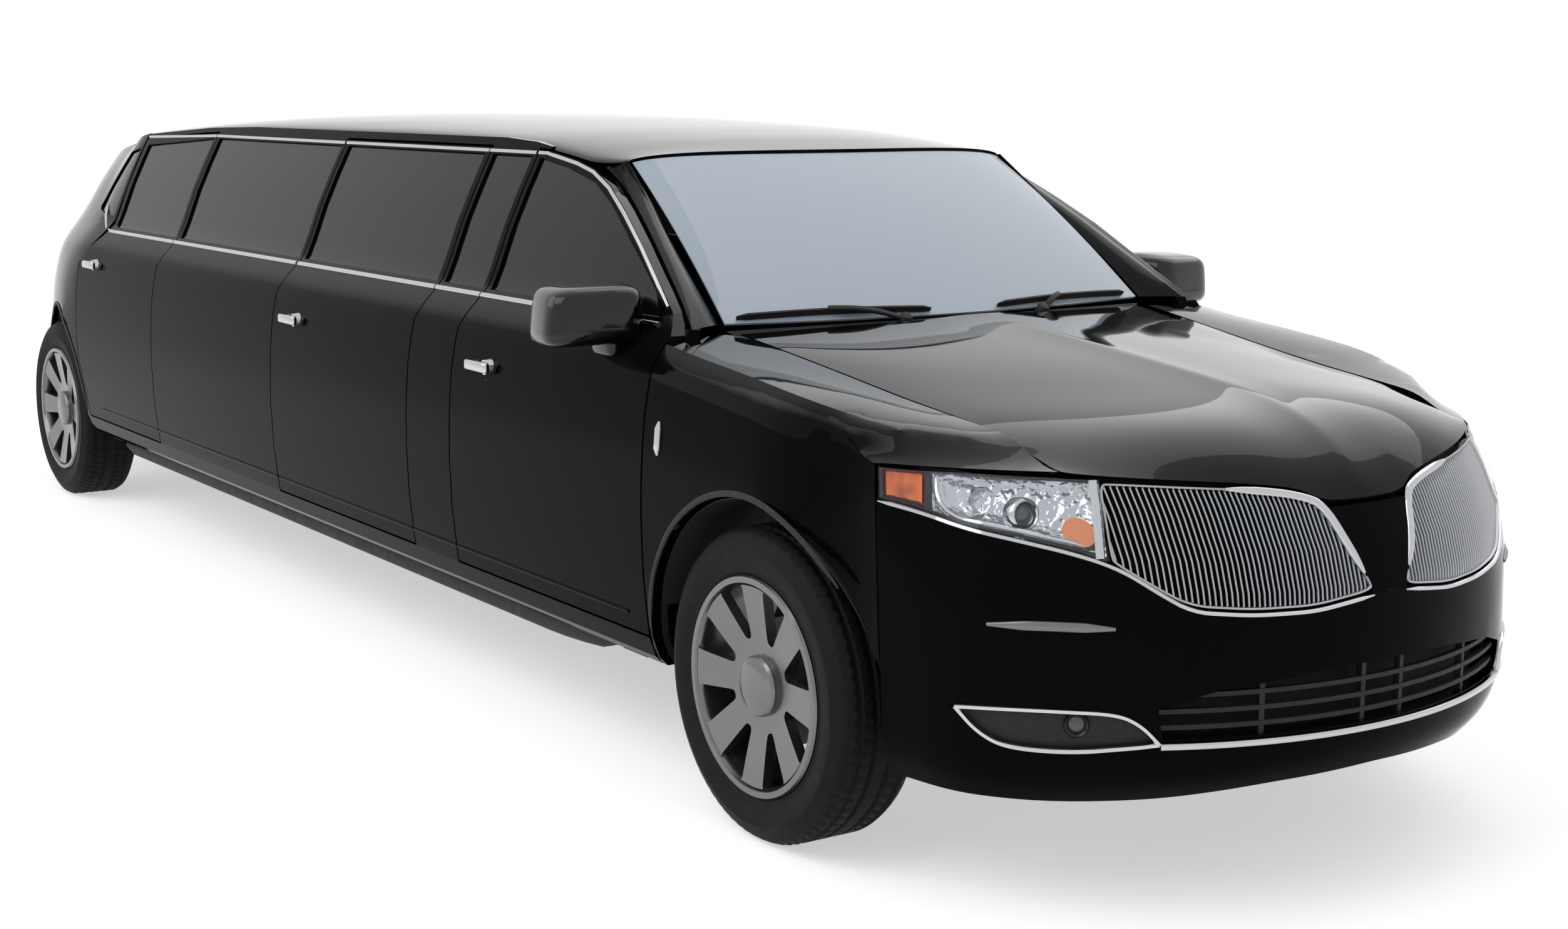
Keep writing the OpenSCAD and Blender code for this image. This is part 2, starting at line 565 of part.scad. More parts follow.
// Slab of the nose between two depths, over plan angles and heights given by a function
module nose_slab(us, vs, f, t0, t1) {
  slab(us, vs, function(u, v) let(p = f(u, v)) nose_p(p[0], p[1], t0),
    function(u, v) let(p = f(u, v)) nose_p(p[0], p[1], t1));
}
module both_halves() {
  children();
  mirror([1, 0]) children();
}
module mullion() {
  f = function(k, z) [nose_a(k * wide_k * lookup(z, [[680, 51.5], [787, 95.5], [866, 117.5]]), z), z];
  nose_slab([-1, -0.5, 0, 0.5, 1], [680, 720, 760, 800, 835, 861], f, 0, 34);
}

// Halves of the upper grille
grille_hi = across([[60, 702], [102, 789], [126, 862], [164, 886], [277, 905], [409, 915], [560, 926],
  [588, 898]]);
grille_lo = across([[60, 690], [210, 694], [351, 701], [512, 713], [571, 774], [588, 860]]);
module grille_half() {
  ys = [62, 102, 128, 164, 220, 277, 340, 409, 470, 530, 560, 586];
  as = [for (y = ys) nose_a(y * wide_k, 820)];
  f = function(a, v) let(y = (hw - 30) * sin(a)) [a, lerp(lookup(y, grille_lo), lookup(y, grille_hi), v)];
  difference() {
    nose_slab(as, [0, 0.25, 0.5, 0.75, 1], f, 4, 28);
    x_prism(xf + 300, x_nose + 50) offset(delta = -grille_rim) grille_outline();
  }
  intersection() {
    nose_slab(as, [0, 0.25, 0.5, 0.75, 1], f, 8, 22);
    union() for (i = [0:grille_bars - 1])
      translate([xf + 300, lerp(84, 556, i / (grille_bars - 1)) * wide_k - bar_w / 2, 640])
        cube([900, bar_w, 340]);
  }
}
module grille_outline() {
  polygon(concat([for (r = grille_lo) [r[0] * 0.96, r[1] + 2]],
    [for (r = back(grille_hi)) [r[0] * 0.96, r[1] - 2]]));
}
module grilles() color("#b9bdc0") {
  both_sides() grille_half();
  // Bars of the lower opening on their uprights
  difference() {
    union() for (z = [428, 462, 496]) {
      nose_slab(steps(-34, 34, 16), [z - 5, z + 5], function(a, h) [a, h], 12, 26);
    }
    difference() {
      x_prism(xf, x_nose + 60) translate([-1200, 0]) square([2400, 1200]);
      x_prism(xf - 1, x_nose + 61) offset(delta = -0.3) polygon(mouth_pts);
    }
  }
  both_halves_y() for (y = [60 * wide_k, 320 * wide_k]) intersection() {
    nose_slab([nose_a(y - 6, 480), nose_a(y + 6, 480)], [402, 538], function(a, h) [a, h], 14, 30);
    x_prism(xf, x_nose + 60) offset(delta = -0.3) polygon(mouth_pts);
  }
}
module both_halves_y() {
  children();
  mirror([0, 1, 0]) children();
}

// Headlamps between the hood, the fender and the bumper
lamp_hi = across([[590, 932], [680, 936], [762, 938], [870, 938], [920, 936]]);
module headlamp() {
  f = function(a, v) let(y = (hw - 70) * sin(a), yb = (hw - 15) * sin(a))
    [a, lerp(lookup(yb, bumper_hi) + seam, lookup(y, lamp_hi), v)];
  nose_slab(concat([40.5], end_a), [0, 0.25, 0.5, 0.75, 1], f, 2, 60);
}
module headlamps() color("#cfd6da") both_sides() headlamp();
module fog_lamps() color("#dfe4e6") both_sides() {
  intersection() {
    nose_slab(steps(33, 66, 10), [370, 400, 430, 475], function(a, z) [a, z], 10, 30);
    x_prism(xf + 300, x_nose + 50) offset(delta = -seam) polygon(fog_pts);
  }
}

// Cowl below the windscreen
module cowl() color("#17181a") {
  f = function(t, k) let(a = [xf - 340 - 110 * k * k, k * 640 * wide_k, lerp(1146, 1128, k * k) - 26],
      b = screen_p(k * 0.985, 0) + [6, 0, -8 - 10 * k * k])
    lerp(b, a, t);
  shell([0, 0.5, 1], steps(-1, 1, 12), f, 0, 14);
}

// Liftgate: panel with the window frame, from the roof edge to the bumper
gate_cols = [0.8, 0.85, 0.9, 0.94, 0.97, 0.99, 1.0001, 1.01, 1.03, 1.06, 1.1, 1.15, 1.2];
gate_rows = [for (z = [700, 740, 800, 880, 960, 1040, 1100, 1150, 1190, 1250, 1320, 1380, 1432]) up(z)];
module gate_shell(t0, t1, rows) {
  f = function(z, s) tail_p(s, z);
  shell(rows, [for (s = gate_cols) lerp(1, s, 0.985)], f, t0, t1);
}
module liftgate() color("#0c0d0f") difference() {
  gate_shell(0, 27, gate_rows);
  x_prism(x_tail - 50, xr) gate_window();
}
module gate_window() polygon(across([for (r = [[-445, 1205], [-395, 1408], [395, 1408], [445, 1205]])
  [r[0], up(r[1])]]));
module liftgate_glass() color("#14181a") intersection() {
  gate_shell(10, 10 + glass_t, [for (z = [1190, 1230, 1270, 1320, 1370, 1425]) up(z)]);
  x_prism(x_tail - 50, xr) offset(delta = -seam) gate_window();
}
module rear_bumper() color("#0c0d0f") {
  cols = [0.34, 0.42, 0.5, 0.56, 0.62, 0.68, 0.74, 0.8, 0.85, 0.9, 0.94, 0.97, 0.99, 1.0001];
  all = concat(cols, [for (s = back(cols)) if (s < 1) 2 - s]);
  f = function(z, s) tail_p(s, z);
  difference() {
    shell([285, 330, 380, 420, 500, 560, 620, 682], all, f, 0, 36);
    both_sides() arch(xr);
  }
}
module tail_lamps() color("#8c1516") both_sides() {
  f = function(z, s) tail_p(s, z);
  shell([885, 920, 960, 1005], [1.22, 1.26, 1.3, 1.34], f, -8, -1.2);
}

// Wheels
module tyre_solid() rotate([90, 0, 0]) rotate_extrude($fn = 96) {
  h = tyre_w / 2;
  polygon([[rim_r - 8, -h + 22], [rim_r + 6, -h + 12], [rim_r + 40, -h + 3], [rim_r + 64, -h],
    [tyre_r - 30, -h + 8], [tyre_r - 12, -h + 18], [tyre_r - 3, -h + 34], [tyre_r, -h + 60],
    [tyre_r, h - 60], [tyre_r - 3, h - 34], [tyre_r - 12, h - 18], [tyre_r - 30, h - 8],
    [rim_r + 64, h], [rim_r + 40, h - 3], [rim_r + 6, h - 12], [rim_r - 8, h - 22]]);
}
// Wheel with its face towards +Y
module wheel_solid() {
  rr = rim_r - 8 - seam;
  window_hw = rim_r * PI / spoke_count * 0.46;
  h = tyre_w / 2;
  rotate([-90, 0, 0]) {
    rotate_extrude($fn = 96) polygon([[rr, -h + 24], [rr, h - 20], [rim_r + 4, h - 11], [rim_r, h - 4],
      [rim_r - 14, h - 4], [rim_r - 22, h - 22], [rim_r - 24, -h + 24]]);
    difference() {
      rotate_extrude($fn = 96) polygon([[0, h - 62], [90, h - 62], [rim_r - 20, h - 36], [rim_r - 20, h - 9],
        [170, h - 20], [110, h - 31], [80, h - 34], [0, h - 34]]);
      // Windows between the spokes
      for (i = [0:spoke_count - 1]) rotate([0, 0, (i + 0.5) * 360 / spoke_count]) translate([0, 0, h - 80])
        linear_extrude(90) polygon([[112, -5], [115, -10], [122, -14], [rim_r - 34, -window_hw],
          [rim_r - 12, -window_hw], [rim_r - 12, window_hw], [rim_r - 34, window_hw], [122, 14],
          [115, 10], [112, 5]]);
    }
    translate([0, 0, h - 96]) cylinder(r = 76, h = 36, $fn = 64);
    // Domed cap
    rotate_extrude($fn = 64) polygon([[0, h - 40], [72, h - 40], [72, h - 25], [67, h - 18], [48, h - 12],
      [24, h - 9], [0, h - 8]]);
  }
}
module at_wheel(x, side) translate([x, side * track / 2, tyre_r]) mirror([0, side < 0 ? 1 : 0, 0]) children();
module tyre_front_left() color("#1a1b1c") at_wheel(xf, 1) tyre_solid();
module tyre_front_right() color("#1a1b1c") at_wheel(xf, -1) tyre_solid();
module tyre_rear_left() color("#1a1b1c") at_wheel(xr, 1) tyre_solid();
module tyre_rear_right() color("#1a1b1c") at_wheel(xr, -1) tyre_solid();
module wheel_front_left() color("#b4b8bb") at_wheel(xf, 1) wheel_solid();
module wheel_front_right() color("#b4b8bb") at_wheel(xf, -1) wheel_solid();
module wheel_rear_left() color("#b4b8bb") at_wheel(xr, 1) wheel_solid();
module wheel_rear_right() color("#b4b8bb") at_wheel(xr, -1) wheel_solid();

// Steering knuckle with brake disc on the left
hub_y = track / 2 + tyre_w / 2 - 96 - seam;
module knuckle() translate([xf, 0, tyre_r]) {
  y_prism(hub_y - 14, hub_y) circle(74, $fn = 64);
  y_prism(hub_y - 34, hub_y - 14) circle(150, $fn = 96);
  y_prism(hub_y - 110, hub_y - 34) circle(52, $fn = 48);
  box([-40, hub_y - 110, -80], [40, hub_y - 52, 150]);
}
module knuckle_left() color("#5c6064") knuckle();
module knuckle_right() color("#5c6064") mirror([0, 1, 0]) knuckle();
pin_y = hub_y - 81;

// Front subframe with lower arms and struts up to the knuckles
module front_subframe() color("#2b2d30") {
  box([xf - 120, -430, 230], [xf + 120, 430, 290]);
  both_sides() {
    box([xf - 36, 425, 240], [xf + 36, pin_y + 26, 278]);
    translate([xf, pin_y, 278 - 1]) cylinder(r = 22, h = tyre_r - 80 - 278 + 1 - seam, $fn = 32);
    translate([xf, pin_y - 131, 277]) cylinder(r = 28, h = 640, $fn = 32);
    box([xf + 120 - 1, 380, 240], [xf + 700, 450, 290]);
  }
  box([xf + 690, -560, 430], [xf + 740, 560, 640]);
  both_sides() {
    box([xf + 640, 390, 285], [xf + 695, 440, 560]);
    box([xf + 739, 480, 590], [xf + front_overhang - 173.6, 520, 630]);
  }
}
module rear_axle() color("#2b2d30") {
  box([xr - 130, -480, 292], [xr + 130, 480, 350]);
  y_prism(-hub_y + 30, hub_y - 30) translate([xr, tyre_r]) circle(34, $fn = 40);
  both_sides() {
    y_prism(hub_y - 14, hub_y) translate([xr, tyre_r]) circle(74, $fn = 64);
    y_prism(hub_y - 34, hub_y - 14) translate([xr, tyre_r]) circle(150, $fn = 96);
    box([xr - 50, 470, 330], [xr + 50, hub_y - 30, 400]);
  }
}
module engine() color("#4a4d50") {
  box([xf - 190, -330, 290 + seam], [xf + 330, 330, 820]);
  box([xf - 150, -290, 815], [xf + 290, 290, 930]);
}
module exhaust() color("#6d7073") {
  x_prism(xr - 480, xf - 260) translate([230, 252]) circle(32, $fn = 32);
  box([xr - 900, -380, 236], [xr - 470, 380, 390]);
  box([xr - 700, -20, 389], [xr - 680, 20, 540 - seam]);
  both_sides() x_prism(x_tail + 168, xr - 890) translate([330, 320]) circle(34, $fn = 32);
}

// Floor with its rails, front wall and luggage floor
floor_hw = side_y(sill_z + 8) - wall_t - seam;
module floor_pan() color("#202224") {
  box([xr + 560, -floor_hw, sill_z + 8], [xf - 480, floor_hw, sill_z + 28]);
  both_sides() {
    box([xr + 560, 380, sill_z - 75], [xf - 300, 480, sill_z + 9]);
    box([xf - 301, 400, sill_z - 75], [xf - 120 - seam, 450, sill_z - 30]);
  }
  box([xf - 500, 8 - floor_hw, sill_z + 27], [xf - 480, floor_hw - 8, 1090]);
  box([xr + 560, -680, sill_z + 27], [xr + 580, 680, 560]);
  box([x_tail + 280, -560, 540], [xr + 580, 560, 560]);
  box([x_tail + 42, -40, 540], [x_tail + 281, 40, 560]);
  box([xf - 500, -600, 1070], [xf - 370, 600, 1094.7]);
  both_sides() box([xf - 400, 565, 1089], [xf - 385, 595, 1103.6]);
  both_sides() {
    box([xr - 620, 470, 430], [xr + 570, 520, 541]);
    box([xr - 52, 470, 405 + seam], [xr + 52, 520, 431]);
  }
}

// Cabin
module dash_outline() {
  polygon([[xf - 500.3, 760], [xf - 500.3, 1080], [xf - 640, 1098], [xf - 880, 1070], [xf - 930, 1010],
    [xf - 900, 900], [xf - 860, 760]]);
}
module dashboard() color("#2a2724") {
  y_prism(-790 * wide_k, 790 * wide_k) dash_outline();
  box([xf - 900, -120, sill_z + 28 + seam], [xf - 560, 120, 765]);
}
module steering_wheel() color("#1d1c1b") difference() {
  translate([xf - 985, 390, 1010]) rotate([0, -66, 0]) {
    rotate_extrude($fn = 64) translate([175, 0]) circle(14, $fn = 20);
    for (a = [0, 140, 220]) rotate([0, 0, a]) translate([30, -16, -8]) cube([140, 32, 14]);
    translate([0, 0, -20]) cylinder(r = 52, h = 40, $fn = 40);
    translate([0, 0, -85]) cylinder(r = 24, h = 66, $fn = 32);
  }
  y_prism(0, 790) offset(delta = seam) dash_outline();
}
module seat(x, y, w) translate([x, y, sill_z + 28 + seam]) {
  y_prism(-w / 2, w / 2) polygon([[-260, 0], [250, 0], [250, 130], [290, 190], [280, 250], [-190, 225],
    [-330, 780], [-400, 860], [-440, 850], [-440, 790], [-330, 180]]);
  translate([-462, -w / 4, 850]) rotate([0, -8, 0]) cube([70, w / 2, 150]);
}
module front_seats() color("#232120") both_sides() seat(xf - 1300, 380, 520);
part_x = xf - 1840;
module partition() color("#2a2724") {
  difference() {
    box([part_x - 60, -640 * wide_k, sill_z + 28 + seam], [part_x, 640 * wide_k, up(1500)]);
    box([part_x - 90, -480 * wide_k, 1060], [part_x + 30, 480 * wide_k, up(1400)]);
  }
}
module lounge_seats() color("#232120") {
  seat(xr + 1000, 0, 1180);
  // Bench along the left wall
  x_prism(xr + 1420, part_x - 140) polygon(across([[300, sill_z + 28.3], [760, sill_z + 28.3], [800, 420],
    [800, 1020], [700, 1040], [640, 640], [300, 620], [270, 560]]));
}

floor_pan();
body_side_left();
body_side_right();
quarters();
pillars();
roof();
cowl();
fenders();
front_bumper();
grilles();
headlamps();
fog_lamps();
windscreen();
side_glass();
rear_bumper();
tail_lamps();
engine();
front_subframe();
rear_axle();
exhaust();
dashboard();
steering_wheel();
front_seats();
partition();
lounge_seats();
hood();
door_front_left();
glass_front_left();
mirror_left();
door_front_right();
glass_front_right();
mirror_right();
door_mid_right();
glass_mid_right();
door_rear_left();
glass_rear_left();
door_rear_right();
glass_rear_right();
liftgate();
liftgate_glass();
knuckle_left();
knuckle_right();
wheel_front_left();
tyre_front_left();
wheel_front_right();
tyre_front_right();
wheel_rear_left();
tyre_rear_left();
wheel_rear_right();
tyre_rear_right();
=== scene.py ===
import json
import math

import bmesh
import bpy
import numpy
from mathutils import Matrix, Vector


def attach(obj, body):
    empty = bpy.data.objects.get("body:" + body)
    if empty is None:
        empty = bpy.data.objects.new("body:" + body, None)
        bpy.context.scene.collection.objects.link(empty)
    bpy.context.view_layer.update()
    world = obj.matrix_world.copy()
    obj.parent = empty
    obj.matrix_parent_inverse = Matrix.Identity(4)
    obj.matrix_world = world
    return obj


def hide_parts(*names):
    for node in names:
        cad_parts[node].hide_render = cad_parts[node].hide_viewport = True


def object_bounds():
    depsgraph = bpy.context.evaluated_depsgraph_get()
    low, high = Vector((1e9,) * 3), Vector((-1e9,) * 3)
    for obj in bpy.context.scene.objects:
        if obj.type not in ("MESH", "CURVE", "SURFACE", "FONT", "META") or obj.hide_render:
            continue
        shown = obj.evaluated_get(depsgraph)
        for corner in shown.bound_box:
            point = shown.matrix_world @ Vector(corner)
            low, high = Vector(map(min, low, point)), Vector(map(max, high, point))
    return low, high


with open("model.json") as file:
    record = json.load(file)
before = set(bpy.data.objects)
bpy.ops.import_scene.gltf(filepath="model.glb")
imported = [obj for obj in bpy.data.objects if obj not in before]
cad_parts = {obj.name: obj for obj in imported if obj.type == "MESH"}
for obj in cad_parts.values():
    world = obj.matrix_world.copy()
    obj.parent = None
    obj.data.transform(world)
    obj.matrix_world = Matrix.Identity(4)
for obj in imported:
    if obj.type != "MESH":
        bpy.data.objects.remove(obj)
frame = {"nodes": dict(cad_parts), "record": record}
cadBox = [list(corner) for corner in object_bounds()]
nodes = frame["nodes"]
behaviour = frame["record"]["behaviour"]
bodyOf = {node: body for body, members in behaviour["bodies"].items() for node in members}
slotOf = {row["node"]: row["material_slot"] for row in frame["record"]["subparts"]}
scene = bpy.context.scene
scene.view_settings.view_transform = "Standard"

photoView = {"place": (6.9662, -3.6531, 1.7294), "yaw": 146.03, "down": 9.57, "roll": 0.1, "lens": 51.2,
             "sensor": 36.0, "clip": 200.0}


def placeCamera(view):
    data = bpy.data.cameras.new("photoCamera")
    data.lens, data.sensor_width, data.clip_end = view["lens"], view["sensor"], view["clip"]
    camera = bpy.data.objects.new("photoCamera", data)
    scene.collection.objects.link(camera)
    yaw, down = math.radians(view["yaw"]), math.radians(view["down"])
    ahead = Vector((math.cos(yaw) * math.cos(down), math.sin(yaw) * math.cos(down), -math.sin(down)))
    turn = ahead.to_track_quat("-Z", "Y").to_matrix().to_4x4()
    camera.matrix_world = Matrix.Translation(view["place"]) @ turn @ Matrix.Rotation(math.radians(view["roll"]), 4, "Z")
    scene.camera = camera


placeCamera(photoView)
print("camera in place")


# shader sockets as plain expressions
def plug(tree, socket, value):
    if isinstance(value, Wire):
        tree.links.new(value.socket, socket)
    else:
        socket.default_value = value


class Wire:
    def __init__(self, tree, socket):
        self.tree, self.socket = tree, socket

    def maths(self, operation, first, second):
        node = self.tree.nodes.new("ShaderNodeMath")
        node.operation = operation
        plug(self.tree, node.inputs[0], first)
        plug(self.tree, node.inputs[1], second)
        return Wire(self.tree, node.outputs[0])

    def __add__(self, other):
        return self.maths("ADD", self, other)

    def __mul__(self, other):
        return self.maths("MULTIPLY", self, other)


class Finish:
    def __init__(self, name, **values):
        self.material = bpy.data.materials.new(name)
        self.material.use_nodes = True
        self.tree = self.material.node_tree
        self.shader = self.tree.nodes["Principled BSDF"]
        self.set(**values)

    def set(self, **values):
        for key, value in values.items():
            plug(self.tree, self.shader.inputs[socketNames[key]], value)
        return self

    def add(self, kind, settings=None, out=0, **inputs):
        node = self.tree.nodes.new("ShaderNode" + kind)
        for key, value in (settings or {}).items():
            if key == "stops":
                ramp = node.color_ramp.elements
                while len(ramp) < len(value):
                    ramp.new(0.5)
                for stop, (place, colour) in zip(ramp, value):
                    stop.position, stop.color = place, colour
            else:
                setattr(node, key, value)
        for key, value in inputs.items():
            plug(self.tree, node.inputs[key.replace("_", " ")], value)
        return Wire(self.tree, node.outputs[out])

    def here(self):
        return self.add("TexCoord", out=3)

    def noise(self, scale, detail=3.0):
        return self.add("TexNoise", Vector=self.here(), Scale=scale, Detail=detail)

    def bump(self, height, strength, distance):
        self.set(normal=self.add("Bump", Height=height, Strength=strength, Distance=distance))
        return self


socketNames = {"colour": "Base Color", "rough": "Roughness", "metal": "Metallic", "ior": "IOR", "alpha": "Alpha",
               "normal": "Normal", "specular": "Specular IOR Level", "coat": "Coat Weight",
               "coatRough": "Coat Roughness", "clear": "Transmission Weight", "glow": "Emission Color",
               "glowLevel": "Emission Strength", "sheen": "Sheen Weight"}


def grey(level):
    return (level, level, level, 1.0)


def makeFinishes():
    made = {}

    def gloss(slot, colour, low, high, specular=0.5, scale=7.0, **more):
        first, *others = slot.split("_")
        name = first + "".join(word.title() for word in others)
        made[slot] = finish = Finish(name, colour=(*colour, 1), specular=specular, **more)
        return finish.set(rough=finish.add("MapRange", Value=finish.noise(scale), To_Min=low, To_Max=high))

    paint = gloss("black_paint", (0.002, 0.0022, 0.0025), 0.012, 0.04, 0.024, 5.0)
    paint.bump(paint.noise(700.0, 1.0), 0.02, 0.0004)    # faint orange peel
    # the clear coat is made stronger on faces that look upward and towards the front, so these faces reflect more: a
    # painted highlight
    upward = paint.add("SeparateXYZ", out=2, Vector=paint.add("NewGeometry", out=1))
    ahead = paint.add("SeparateXYZ", Vector=paint.here())
    reach = paint.add("MapRange", Value=ahead, From_Min=-1.6, From_Max=2.2, To_Min=0.3, To_Max=0.85)
    paint.set(coat=paint.add("MapRange", Value=upward, From_Min=0.5, From_Max=0.98) * reach, coatRough=0.02)
    chassis = gloss("chassis_black", (0.014, 0.014, 0.015), 0.5, 0.8, 0.3, 30.0)
    chassis.bump(chassis.noise(160.0), 0.2, 0.001)
    gloss("bright_trim", (0.5, 0.51, 0.53), 0.03, 0.1, scale=40.0, metal=1.0)
    gloss("grille_silver", (0.36, 0.37, 0.385), 0.14, 0.24, scale=60.0, metal=1.0)
    gloss("lamp_lens", (0.97, 0.98, 1.0), 0.0, 0.02, clear=1.0, ior=1.25)
    gloss("red_lens", (0.13, 0.003, 0.003), 0.08, 0.2, 0.2, 40.0)
    gloss("privacy_glass", (0.002, 0.0026, 0.0028), 0.0, 0.02, 0.2, 3.0, alpha=0.95)
    # the windscreen's pale blue-grey colour is a painted reflection of the bright surround over a slight glass tint
    gloss("screen_glass", (0.43, 0.5, 0.58), 0.0, 0.03, 0.6, 3.0, alpha=0.78)
    alloy = gloss("wheel_alloy", (0.17, 0.173, 0.178), 0.16, 0.28, scale=12.0, metal=0.92)
    alloy.bump(alloy.noise(900.0, 1.0), 0.004, 0.0002)
    rubber = gloss("tyre_rubber", (0.0055, 0.0055, 0.0058), 0.55, 0.78, 0.14, 45.0)
    rubber.bump(rubber.noise(420.0), 0.25, 0.0006)
    cast = gloss("cast_metal", (0.2, 0.2, 0.21), 0.4, 0.65, scale=70.0, metal=0.85)
    cast.bump(cast.noise(260.0), 0.35, 0.0008)
    gloss("pipe_steel", (0.32, 0.32, 0.33), 0.25, 0.5, scale=35.0, metal=0.9)
    for slot, level in (("trim_plastic", 0.02), ("cowl_plastic", 0.009)):
        plastic = gloss(slot, (level, level, level), 0.5, 0.72, 0.35, 60.0)
        plastic.bump(plastic.add("TexVoronoi", Vector=plastic.here(), Scale=620.0), 0.2, 0.0004)
    hide = gloss("seat_leather", (0.017, 0.016, 0.0155), 0.38, 0.6, 0.4, 18.0, sheen=0.1)
    grain = hide.add("TexVoronoi", {"feature": "DISTANCE_TO_EDGE"}, Vector=hide.here(), Scale=330.0)
    hide.bump(grain * 0.7 + hide.noise(900.0) * 0.3, 0.3, 0.0008)
    amber = gloss("amber_lens", (0.5, 0.08, 0.004), 0.03, 0.1, scale=80.0, coat=0.3)
    stops = [(0.36, (0.2, 0.014, 0.001, 1)), (0.62, (0.7, 0.14, 0.005, 1))]
    amber.set(colour=amber.add("ValToRGB", {"stops": stops}, Fac=amber.noise(16.0, 1.0)))
    amber.bump(amber.noise(130.0, 1.0), 0.4, 0.003)
    gloss("dark_lamp", (0.012, 0.0125, 0.014), 0.15, 0.3, 0.3, 50.0)
    bowl = gloss("lamp_bowl", (0.46, 0.48, 0.5), 0.1, 0.24, scale=40.0, metal=0.85)
    bowl.bump(bowl.noise(34.0, 2.0), 0.7, 0.02)
    gloss("peach_lens", (0.78, 0.29, 0.15), 0.25, 0.45, 0.2, 80.0)
    gloss("mirror_paint", (0.002, 0.0022, 0.0025), 0.01, 0.03, 0.16, 6.0, coat=0.5)
    gloss("dark_core", (0.004, 0.004, 0.004), 0.6, 0.85, 0.2, 90.0)
    gloss("lamp_eye", (0.05, 0.055, 0.06), 0.0, 0.03, 0.7, 20.0)
    gloss("mirror_face", (0.75, 0.77, 0.79), 0.0, 0.02, scale=20.0, metal=1.0)
    return {slot: finish.material for slot, finish in made.items()}


finishes = makeFinishes()
for node, owner in nodes.items():
    owner.data.materials.clear()
    owner.data.materials.append(finishes[slotOf[node]])
print("finishes made:", len(finishes))


# light: a pale floor, a white surround and three soft lamps
studio = {"surround": 0.6, "floor": 0.8, "lift": 0.52, "size": 60.0, "under": 0.0005, "aim": 0.6,
          "lamps": [((2.5, -5.5, 5.5), 5.0, 150.0), ((-3.0, -6.5, 5.0), 6.0, 140.0), ((0.5, 4.5, 6.5), 7.0, 140.0)]}


def seenRays(tree):
    path = tree.nodes.new("ShaderNodeLightPath").outputs
    camera, glossy, passed = (Wire(tree, path["Is %s Ray" % kind]) for kind in ("Camera", "Glossy", "Transmission"))
    seen = camera + glossy + passed
    return seen.maths("MINIMUM", seen, 1.0)


def makeStudio(values):
    world = bpy.data.worlds.new("studioWorld")
    scene.world = world
    world.use_nodes = True
    tree = world.node_tree
    level = seenRays(tree) * (1.0 - values["surround"]) + values["surround"]
    back = tree.nodes["Background"]
    back.inputs["Color"].default_value = grey(1.0)
    tree.links.new(level.socket, back.inputs["Strength"])
    shape = bmesh.new()
    bmesh.ops.create_grid(shape, x_segments=2, y_segments=2, size=values["size"])
    bmesh.ops.translate(shape, verts=shape.verts, vec=(0, 0, cadBox[0][2] - values["under"]))
    floor = newObject("studioFloor", shape)
    pale = Finish("paleFloor", colour=grey(values["floor"]), rough=0.9, specular=0.1, glowLevel=1.0)
    lift = seenRays(pale.tree) * values["lift"]
    pale.set(glow=pale.add("CombineColor", Red=lift, Green=lift, Blue=lift))
    floor.data.materials.append(pale.material)
    for index, (place, size, power) in enumerate(values["lamps"]):
        data = bpy.data.lights.new("softLamp%d" % index, "AREA")
        data.size, data.energy = size, power
        lamp = bpy.data.objects.new("softLamp%d" % index, data)
        lamp.location = place
        lamp.rotation_euler = (Vector((0, 0, values["aim"])) - Vector(place)).to_track_quat("-Z", "Y").to_euler()
        scene.collection.objects.link(lamp)


def newObject(name, shape):
    mesh = bpy.data.meshes.new(name)
    shape.to_mesh(mesh)
    shape.free()
    made = bpy.data.objects.new(name, mesh)
    scene.collection.objects.link(made)
    return made


def settle(name, shape, body, slot, finish=None, smoothUnder=35.0):
    bmesh.ops.recalc_face_normals(shape, faces=shape.faces)
    for face in shape.faces:
        face.smooth = True
    for edge in shape.edges:
        edge.smooth = len(edge.link_faces) == 2 and edge.calc_face_angle() < math.radians(smoothUnder)
    made = newObject(name, shape)
    made.data.materials.append(finishes[finish or slot])
    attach(made, body)
    return made


makeStudio(studio)
print("studio ready")


# the car's own surfaces, in millimetres as its plan gives them
plan = {"frontAxle": 2800.0, "rearAxle": -2630.0, "halfWidth": 965.0, "noseSet": 250.0, "tailStart": 180.0,
        "tailLength": 1405.0, "tailPinch": (0.34, 1.2), "noseLength": 805.0, "noseIn": (15.0, 0.55),
        "noseSquare": 480.0, "noseEnd": 77.0, "noseBlend": (58.0, 19.0), "bend": (100.0, 887.0), "searchEnd": 82.0,
        "searchSteps": 28,
        "bumperReach": 950.0, "lampReach": 895.0, "screenFoot": 1152.0, "wheelRadius": 371.0, "track": 1652.0}
sides = ((-1, "right"), (1, "left"))
sideRows = [(325, 62), (345, 42), (400, 22), (480, 13), (560, 5), (620, 3), (700, 0), (800, 2), (870, 6), (940, 12),
            (980, 18), (1030, 27), (1070, 37), (1107, 64), (1135, 90), (1160, 113), (1180, 130), (1228, 152),
            (1345, 197), (1444, 243), (1540, 291), (1560, 301), (1590, 317), (1630, 345)]
noseRows = [(230, 170), (275, 100), (318, 25), (390, 0), (560, 0), (697, 5), (780, 30), (870, 78), (960, 140)]
tailRows = [(250, 110), (330, 40), (420, 5), (560, 0), (690, 15), (760, 45), (900, 75), (1065, 155), (1130, 195),
            (1200, 235), (1320, 330), (1435, 470), (1450, 490), (1505, 650), (1560, 800)]
bumperTop = [(0, 684), (58, 682), (209, 664), (351, 666), (478, 679), (541, 721), (601, 766), (673, 794), (761, 817),
             (837, 835), (894, 864), (950, 880)]
fogShape = [(841, 460), (736, 466), (608, 463), (565, 439), (530, 396), (686, 378), (776, 383), (811, 410)]
lampTop = [(590, 932), (680, 936), (762, 938), (870, 938), (920, 936)]


